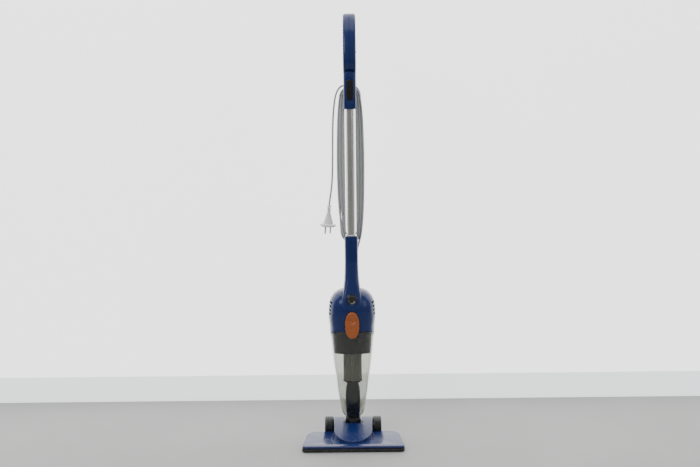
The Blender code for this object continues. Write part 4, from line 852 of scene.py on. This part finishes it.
def domeRings(inset=0.0):
    rings = []
    for k in range(41):
        up = 1 - (1 - k / 40) ** 1.35
        half, deep = eased(domeShape, up)
        rings.append((domeZ + up * domeHeight, half * bodyHalf - inset, deep * bodyDepth - inset, bodyY))
    return rings


def socketStack(name, grow=0.0):
    # the tongue at its lower end has squarer corners, so that its edges stand off the dome
    rings = []
    for k in range(57):
        share = 1 - k / 56
        half, front, back = eased(socketShape, share)
        rings.append((socketTop - share * socketLength, half + grow, (back - front) / 2 + grow,
                      (front + back) / 2))
    stack = roundStack(name, rings, 96, 2.0, filled=True)
    for v in stack.data.vertices:
        share = (socketTop - v.co.z) / socketLength
        half, front, back = eased(socketShape, share)
        deep, middle = (back - front) / 2 + grow, (front + back) / 2
        power = 3.4 + 4.6 * min(1.0, max(0.0, (share - 0.60) / 0.25))
        angle = math.atan2((v.co.y - middle) / deep, v.co.x / (half + grow))
        c, n = math.cos(angle), math.sin(angle)
        v.co.x = (half + grow) * math.copysign(abs(c) ** (2 / power), c)
        v.co.y = middle + deep * math.copysign(abs(n) ** (2 / power), n)
    return faceOut(stack)


def onButtonAxis(obj):
    turn = Matrix.Rotation(math.radians(90) - buttonTilt, 3, "X")
    return placed(obj, (0, buttonY, buttonZ), turn)


def ventCutters():
    made = []
    for side in (-1, 1):
        for k in range(4):
            z = domeZ + domeHeight - 0.0295 - k * 0.0098
            slot = box("vent", (min(side * 0.03, side * 0.075), bodyY - 0.0335, z - 0.0023),
                       (max(side * 0.03, side * 0.075), bodyY - 0.0075, z + 0.0023))
            pick(slot)
            editMode()
            bpy.ops.mesh.select_all(action="DESELECT")
            objectMode()
            for edge in slot.data.edges:
                a, b = (slot.data.vertices[i].co for i in edge.vertices)
                edge.select = abs(a.x - b.x) > 0.01
            editMode()
            bpy.ops.mesh.bevel(offset=0.0022, segments=5)
            objectMode()
            made.append(slot)
    return made


def makeDome():
    wall = 0.0025
    dome = faceOut(roundStack("motorDome", domeRings(), 112, 2.6))
    pick(dome)
    leanWithSeam(dome, domeZ, domeHeight, lambda up: (1 - up) ** 2)
    top = max(v.co.z for v in dome.data.vertices)
    for v in dome.data.vertices:
        v.select = v.co.z > top - 1e-5
    editMode()
    bpy.ops.mesh.edge_face_add()
    objectMode()
    faceOut(dome)
    change = dome.modifiers.new("wall", "SOLIDIFY")
    change.thickness = wall
    change.offset = -1.0
    applyModifiers(dome)
    cutWith(dome, latchOval("latchHole", 0.0008, 0.038, 0.07))
    cutWith(dome, *ventCutters())
    cutWith(dome, socketStack("neckHole", 0.0003))
    gland = rod("glandHole", 0.0056, 0.1, (0, 0.041, domeZ + domeHeight), None, 48)
    cutWith(dome, gland)
    # the parting line between the front and the rear shell
    seam = box("partingLine", (-0.1, bodyY - 0.0002, 0.2), (0.1, bodyY + 0.0002, 0.5))
    core = faceOut(roundStack("core", domeRings(0.0008), 112, 2.6, filled=True))
    leanWithSeam(core, domeZ, domeHeight, lambda up: (1 - up) ** 2)
    cutWith(seam, core)
    cutWith(dome, seam)
    softenEdges(dome, 0.00035, 2, 50)
    return finished(dome, blue, "motor_unit", ["housing_front", "housing_rear"], 38)


def makeSocket():
    socket = socketStack("tubeSocket")
    cutWith(socket, rod("bore", 0.0113, 0.146, (0, 0, socketTop), None, 64))
    inside = faceOut(roundStack("inside", domeRings(0.0022), 96, 2.6, filled=True))
    leanWithSeam(inside, domeZ, domeHeight, lambda up: (1 - up) ** 2)
    cutWith(socket, inside)
    hole = onButtonAxis(turnedPiece("buttonHole", [(0.0163, -0.03), (0.0163, 0.02)], 72))
    cutWith(socket, hole)
    softenEdges(socket, 0.0007, 3, 50)
    return finished(socket, blue, "motor_unit", ["tube_socket"], 38)


def makeCollar():
    # a ribbed collet just above the socket, between tube and plastic
    ribs = {"count": 20, "inner": 0.0113, "outer": 0.0150, "low": 0.0002, "high": 0.0038}
    collar = turnedPiece("tubeCollar", [(ribs["inner"], socketTop + ribs["low"]),
                                        (ribs["outer"], socketTop + ribs["low"]),
                                        (ribs["outer"], socketTop + ribs["high"] - 0.0008),
                                        (ribs["outer"] - 0.0008, socketTop + ribs["high"]),
                                        (ribs["inner"], socketTop + ribs["high"])], 96, ring=True)
    notches = []
    for k in range(ribs["count"]):
        notch = box("notch", (0.0142, -0.0007, socketTop + 0.0010), (0.0165, 0.0007, socketTop + 0.0050))
        placed(notch, (0, 0, 0), Matrix.Rotation(2 * math.pi * (k + 0.5) / ribs["count"], 3, "Z"))
        notches.append(notch)
    cutWith(collar, joined(*notches))
    return finished(collar, nickel, "motor_unit", ())


def makeButton():
    bezel = [(0.0134, -0.0050), (0.0162, -0.0050), (0.0162, 0.0006), (0.0160, 0.0012), (0.0154, 0.0018),
             (0.0147, 0.0019), (0.0140, 0.0015), (0.0136, 0.0008)]
    ring = onButtonAxis(turnedPiece("buttonBezel", bezel, 96, ring=True))
    finished(ring, blue, "motor_unit", ["button_bezel"])
    cap = [(0.0036, -0.0085), (0.0036, -0.0040), (0.0131, -0.0040), (0.0131, 0.0002), (0.0128, 0.0009),
           (0.0121, 0.0013),
           (0.0112, 0.0013), (0.0104, 0.0008), (0.0096, -0.0002), (0.0080, -0.0010), (0.0055, -0.0015),
           (0.0025, -0.0017),
           (0.0003, -0.0018)]
    button = onButtonAxis(turnedPiece("startButton", cap, 96))
    finished(button, darkGloss, "start_button", ["power_button"])


def makeLatch():
    half, tall = 0.0180, 0.0344
    front = 0.0535
    stack = [(0.0482, half, tall, 0.0), (0.0505, half, tall, 0.0),
             (0.0516, half - 0.0004, tall - 0.0004, 0.0),
             (0.0524, half - 0.0012, tall - 0.0012, 0.0), (0.0530, half - 0.0028, tall - 0.0028, 0.0)]
    for k in range(1, 31):
        share = k / 30
        inset = 0.0028 + (half - 0.0034) * share
        stack.append((0.0530 + (front - 0.0530) * math.sin(share * math.pi / 2), half - inset,
                      tall - 0.0028 - (tall - 0.0034) * share, 0.0))
    pad = roundStack("latchPad", stack, 120, 2.25, filled=True)
    dish = {"z": 0.0155, "wide": 0.0120, "tall": 0.0115, "deep": 0.0036}
    for v in pad.data.vertices:
        if v.co.z > 0.0520:
            reach = (v.co.x / dish["wide"]) ** 2 + ((v.co.y - dish["z"]) / dish["tall"]) ** 2
            if reach < 1:
                edge = 0.42 if v.co.y < dish["z"] else 1.0
                v.co.z -= dish["deep"] * (1 - reach) ** edge
    placed(pad, (0, 0, latchZ), facingFront)
    faceOut(pad)
    lug = box("lug", (-0.006, -0.0485, 0.3249), (0.006, -0.0385, 0.3319))
    tooth = box("tooth", (-0.005, -0.0485, 0.2926), (0.005, -0.0470, 0.2951))
    cutWith(pad, lug, tooth, operation="UNION")
    cutWith(pad, rod("pinHole", 0.0015, 0.05, (0, -0.0413, 0.3284), across, 32))
    return finished(pad, orange, "cup_latch", ["latch_lever"], 50)


makeCup()
makeDome()
makeSocket()
makeCollar()
makeButton()
makeLatch()
print("cup, dome and neck made")

# tube, handle loop, release button and screw
gripSizes = {"long": 0.0722, "short": 0.0375, "y": 0.0395, "z": 1.0280, "lean": math.radians(24),
             "bar": 0.012,
             "half": 0.0164}


def gripSpot(angle, out=0.0):
    s = gripSizes
    c, n = math.cos(angle), math.sin(angle)
    up = (s["long"] + out) * math.copysign(abs(c) ** (2 / 2.25), c)
    back = (s["short"] + out) * math.copysign(abs(n) ** (2 / 2.25), n)
    return (0.0, s["y"] + up * math.sin(s["lean"]) + back * math.cos(s["lean"]),
            s["z"] + up * math.cos(s["lean"]) - back * math.sin(s["lean"]))


def makeGrip():
    # a rounded bar swept round the loop, with a groove where its two halves meet
    s = gripSizes
    section = []
    corner, groove = 0.0062, 0.0005
    for cx, cy, start in ((s["half"] - corner, s["bar"] - corner, 0),
                          (-s["half"] + corner, s["bar"] - corner, 90),
                          (-s["half"] + corner, -s["bar"] + corner, 180),
                          (s["half"] - corner, -s["bar"] + corner, 270)):
        for k in range(7):
            angle = math.radians(start + 90 * k / 6)
            section.append((cx + corner * math.cos(angle), cy + corner * math.sin(angle)))
        if start == 0:
            section += [(groove, s["bar"]), (0.0, s["bar"] - 0.0006), (-groove, s["bar"])]
        if start == 180:
            section += [(-groove, -s["bar"]), (0.0, -s["bar"] + 0.0006), (groove, -s["bar"])]
    steps = 96
    points, faces = [], []
    for i in range(steps):
        angle = 2 * math.pi * i / steps
        inner, outer = Vector(gripSpot(angle, -0.001)), Vector(gripSpot(angle, 0.001))
        middle = (inner + outer) / 2
        out = (outer - inner).normalized()
        for x, away in section:
            points.append(middle + out * away + Vector((x, 0, 0)))
    count = len(section)
    for i in range(steps):
        for j in range(count):
            a, b = i * count + j, i * count + (j + 1) % count
            c, d = ((i + 1) % steps) * count + (j + 1) % count, ((i + 1) % steps) * count + j
            faces.append((a, b, c, d))
    mesh = bpy.data.meshes.new("gripLoop")
    mesh.from_pydata(points, [], faces)
    grip = bpy.data.objects.new("gripLoop", mesh)
    bpy.context.scene.collection.objects.link(grip)
    faceOut(grip)
    return finished(grip, blue, "motor_unit", ["grip_left", "grip_right"], 40)


def makeTube():
    low, high, inner, outer = 0.476, 0.9213, 0.0098, 0.011
    profile = [(inner, low), (outer - 0.0003, low), (outer, low + 0.0003), (outer, high - 0.0003),
               (outer - 0.0003, high), (inner, high)]
    tube = turnedPiece("steelTube", profile, 96, ring=True)
    return finished(tube, steel, "motor_unit", ["extension_tube"])


def makeReleaseButton():
    pad = {"half": 0.0088, "tall": 0.0259, "middle": handleZ + 0.0474, "front": 0.0186, "back": 0.0148,
           "ribs": 7, "pitch": 0.0036, "ribHalf": 0.0062}
    half, tall = pad["half"], pad["tall"]
    corners = [(-half, -tall), (half, -tall), (half, tall), (-half, tall)]
    button = slab("releasePad", corners, [pad["half"] - 0.0001] * 4, pad["back"], pad["front"], 16)
    softenEdges(button, 0.0010, 4, 50)
    for k in range(pad["ribs"]):
        y = (k - 3) * pad["pitch"]
        rib = box("rib", (-pad["ribHalf"], y - 0.0005, pad["front"] - 0.0004),
                  (pad["ribHalf"], y + 0.0005, pad["front"] + 0.001))
        cutWith(button, rib)
    placed(button, (0, 0, pad["middle"]), facingFront)
    faceOut(button)
    return finished(button, black, "release_button", ["handle_button"])


def makeScrew():
    # a cross-head screw in the side of the loop
    profile = [(0.0030, -0.0004), (0.0030, 0.0004), (0.0027, 0.0008), (0.0018, 0.0011), (0.0002, 0.0012)]
    head = turnedPiece("gripScrew", profile, 40)
    for k in range(2):
        slotBox = box("cross", (-0.0019, -0.0003, 0.0004), (0.0019, 0.0003, 0.002))
        placed(slotBox, (0, 0, 0), Matrix.Rotation(math.pi / 2 * k, 3, "Z"))
        cutWith(head, slotBox)
    placed(head, (gripSizes["half"] + 0.0002, *gripSpot(math.radians(90))[1:]), across)
    return finished(head, darkSteel, "motor_unit", ["grip_screw"])


makeGrip()
makeTube()
makeReleaseButton()
makeScrew()
print("tube, loop and release button made")

# frame pieces whose own shape stays, with their edges rounded
kept = {
    "handle_socket": ("handleBlock", blue, "motor_unit", "blue_gloss_plastic", 0.0016),
    "upper_cord_hook": ("upperHook", blue, "motor_unit", "blue_gloss_plastic", 0.0007),
    "lower_cord_hook": ("lowerHook", blue, "motor_unit", "blue_gloss_plastic", 0.0007),
    "elbow": ("tiltNeck", black, "neck", "black_plastic", 0.0006),
    "inlet_duct": ("inletDuct", black, "dust_cup", "black_plastic", 0.0005),
    "inlet_flap": ("inletFlap", rubber, "flap", "black_rubber", 0.0003),
    "filter_frame": ("filterFrame", black, "filter", "black_plastic", 0.0004),
    "filter_cap": ("filterCap", black, "filter", "black_plastic", 0.0005),
    "head_base": ("solePlate", blackLow, "floor_head", "black_plastic", 0.0004),
    "strain_relief": ("leadGuard", rubber, "motor_unit", "black_rubber", 0.0003),
}
for node, (name, material, body, slotName, width) in kept.items():
    finished(refined(node, name, width), material, body, [node], 38)
print("rounded copies made")

# the other frame pieces keep their mesh and take their finish
plain = {
    "blackPlain": (black, ("intake_plate", "motor_base", "switch_block")),
    "steelPlain": (darkSteel, ("axle_left", "axle_right", "sole_screw_left", "sole_screw_right", "fan_cover",
                               "impeller",
                               "motor_can", "stator_core", "motor_shaft", "bearing_lower", "bearing_upper",
                               "latch_pin",
                               "latch_spring", "power_spring", "handle_spring")),
    "rubberPlain": (rubber, ("cup_gasket", "motor_mount")),
    "mediaPlain": (media, ("filter_media",)),
    "copperPlain": (copper, ("armature",)),
}
for material, names in plain.values():
    for node in names:
        nodes[node].data.materials.clear()
        nodes[node].data.materials.append(material)


# floor, wall and light
def makeFloor():
    pick()
    bpy.ops.mesh.primitive_plane_add(size=40.0, location=(0, 0, 0))
    floor = bpy.context.object
    floor.name = "floor"
    material, tree, shader, where = startMaterial("paleConcrete")
    cloud = addNode(tree, "ShaderNodeTexNoise", {"Scale": 2.6, "Detail": 7.0, "Roughness": 0.6})
    tree.links.new(where, cloud.inputs["Vector"])
    shade = mixColour(tree, cloud.outputs["Fac"], (0.31, 0.314, 0.300, 1), (0.42, 0.424, 0.408, 1))
    tree.links.new(shade, shader.inputs["Base Color"])
    shader.inputs["Roughness"].default_value = 0.6
    floor.data.materials.append(material)
    return floor


def oneSided(name, colour, rough, glow):
    # seen only from its front, so that it hides nothing from behind
    material, tree, shader, where = startMaterial(name)
    link = tree.links.new
    grain = addNode(tree, "ShaderNodeTexNoise", {"Scale": 9.0, "Detail": 5.0})
    link(where, grain.inputs["Vector"])
    dark = tuple(0.985 * c for c in colour[:3]) + (1,)
    link(mixColour(tree, grain.outputs["Fac"], dark, colour), shader.inputs["Base Color"])
    shader.inputs["Roughness"].default_value = rough
    shader.inputs["Emission Color"].default_value = colour
    shader.inputs["Emission Strength"].default_value = glow
    face = addNode(tree, "ShaderNodeNewGeometry")
    clear = addNode(tree, "ShaderNodeBsdfTransparent")
    mixer = addNode(tree, "ShaderNodeMixShader")
    link(face.outputs["Backfacing"], mixer.inputs["Fac"])
    link(shader.outputs[0], mixer.inputs[1])
    link(clear.outputs[0], mixer.inputs[2])
    link(mixer.outputs[0], tree.nodes["Material Output"].inputs["Surface"])
    return material


def makeWall():
    for name, y, middle, tall, material in (
        ("wall", 0.35, 1.5, 3.0, oneSided("whiteWall", (0.90, 0.905, 0.90, 1), 0.7, 2.2)),
        ("skirtingBoard", 0.345, 0.0385, 0.077, oneSided("paintedBoard", (0.74, 0.76, 0.77, 1), 0.5, 1.6)),
    ):
        pick()
        bpy.ops.mesh.primitive_plane_add(size=1.0, location=(0, y, middle), rotation=(math.pi / 2, 0, 0))
        sheet = bpy.context.object
        sheet.name = name
        sheet.scale = (9.0, tall, 1.0)
        bpy.ops.object.transform_apply(location=True, rotation=True, scale=True)
        sheet.data.materials.append(material)


def addLight(name, place, aim, size, power):
    lamp = bpy.data.lights.new(name, "AREA")
    lamp.shape = "RECTANGLE"
    lamp.size, lamp.size_y = size
    lamp.energy = power
    obj = bpy.data.objects.new(name, lamp)
    obj.location = place
    obj.rotation_euler = (Vector(aim) - Vector(place)).to_track_quat("-Z", "Y").to_euler()
    bpy.context.scene.collection.objects.link(obj)
    return obj


makeFloor()
makeWall()
addLight("keySoftbox", (-1.6, -2.0, 2.6), (0, 0, 0.5), (1.6, 1.6), 36)
addLight("fillSoftbox", (2.0, -1.6, 1.6), (0, 0, 0.5), (1.0, 1.8), 9)
addLight("topSoftbox", (0.0, -0.3, 3.2), (0, 0, 0.0), (2.2, 1.6), 26)
world = bpy.data.worlds.new("softRoom")
world.use_nodes = True
world.node_tree.nodes["Background"].inputs["Color"].default_value = (0.93, 0.95, 1.0, 1)
world.node_tree.nodes["Background"].inputs["Strength"].default_value = 0.42
bpy.context.scene.world = world
print("stage and light made")
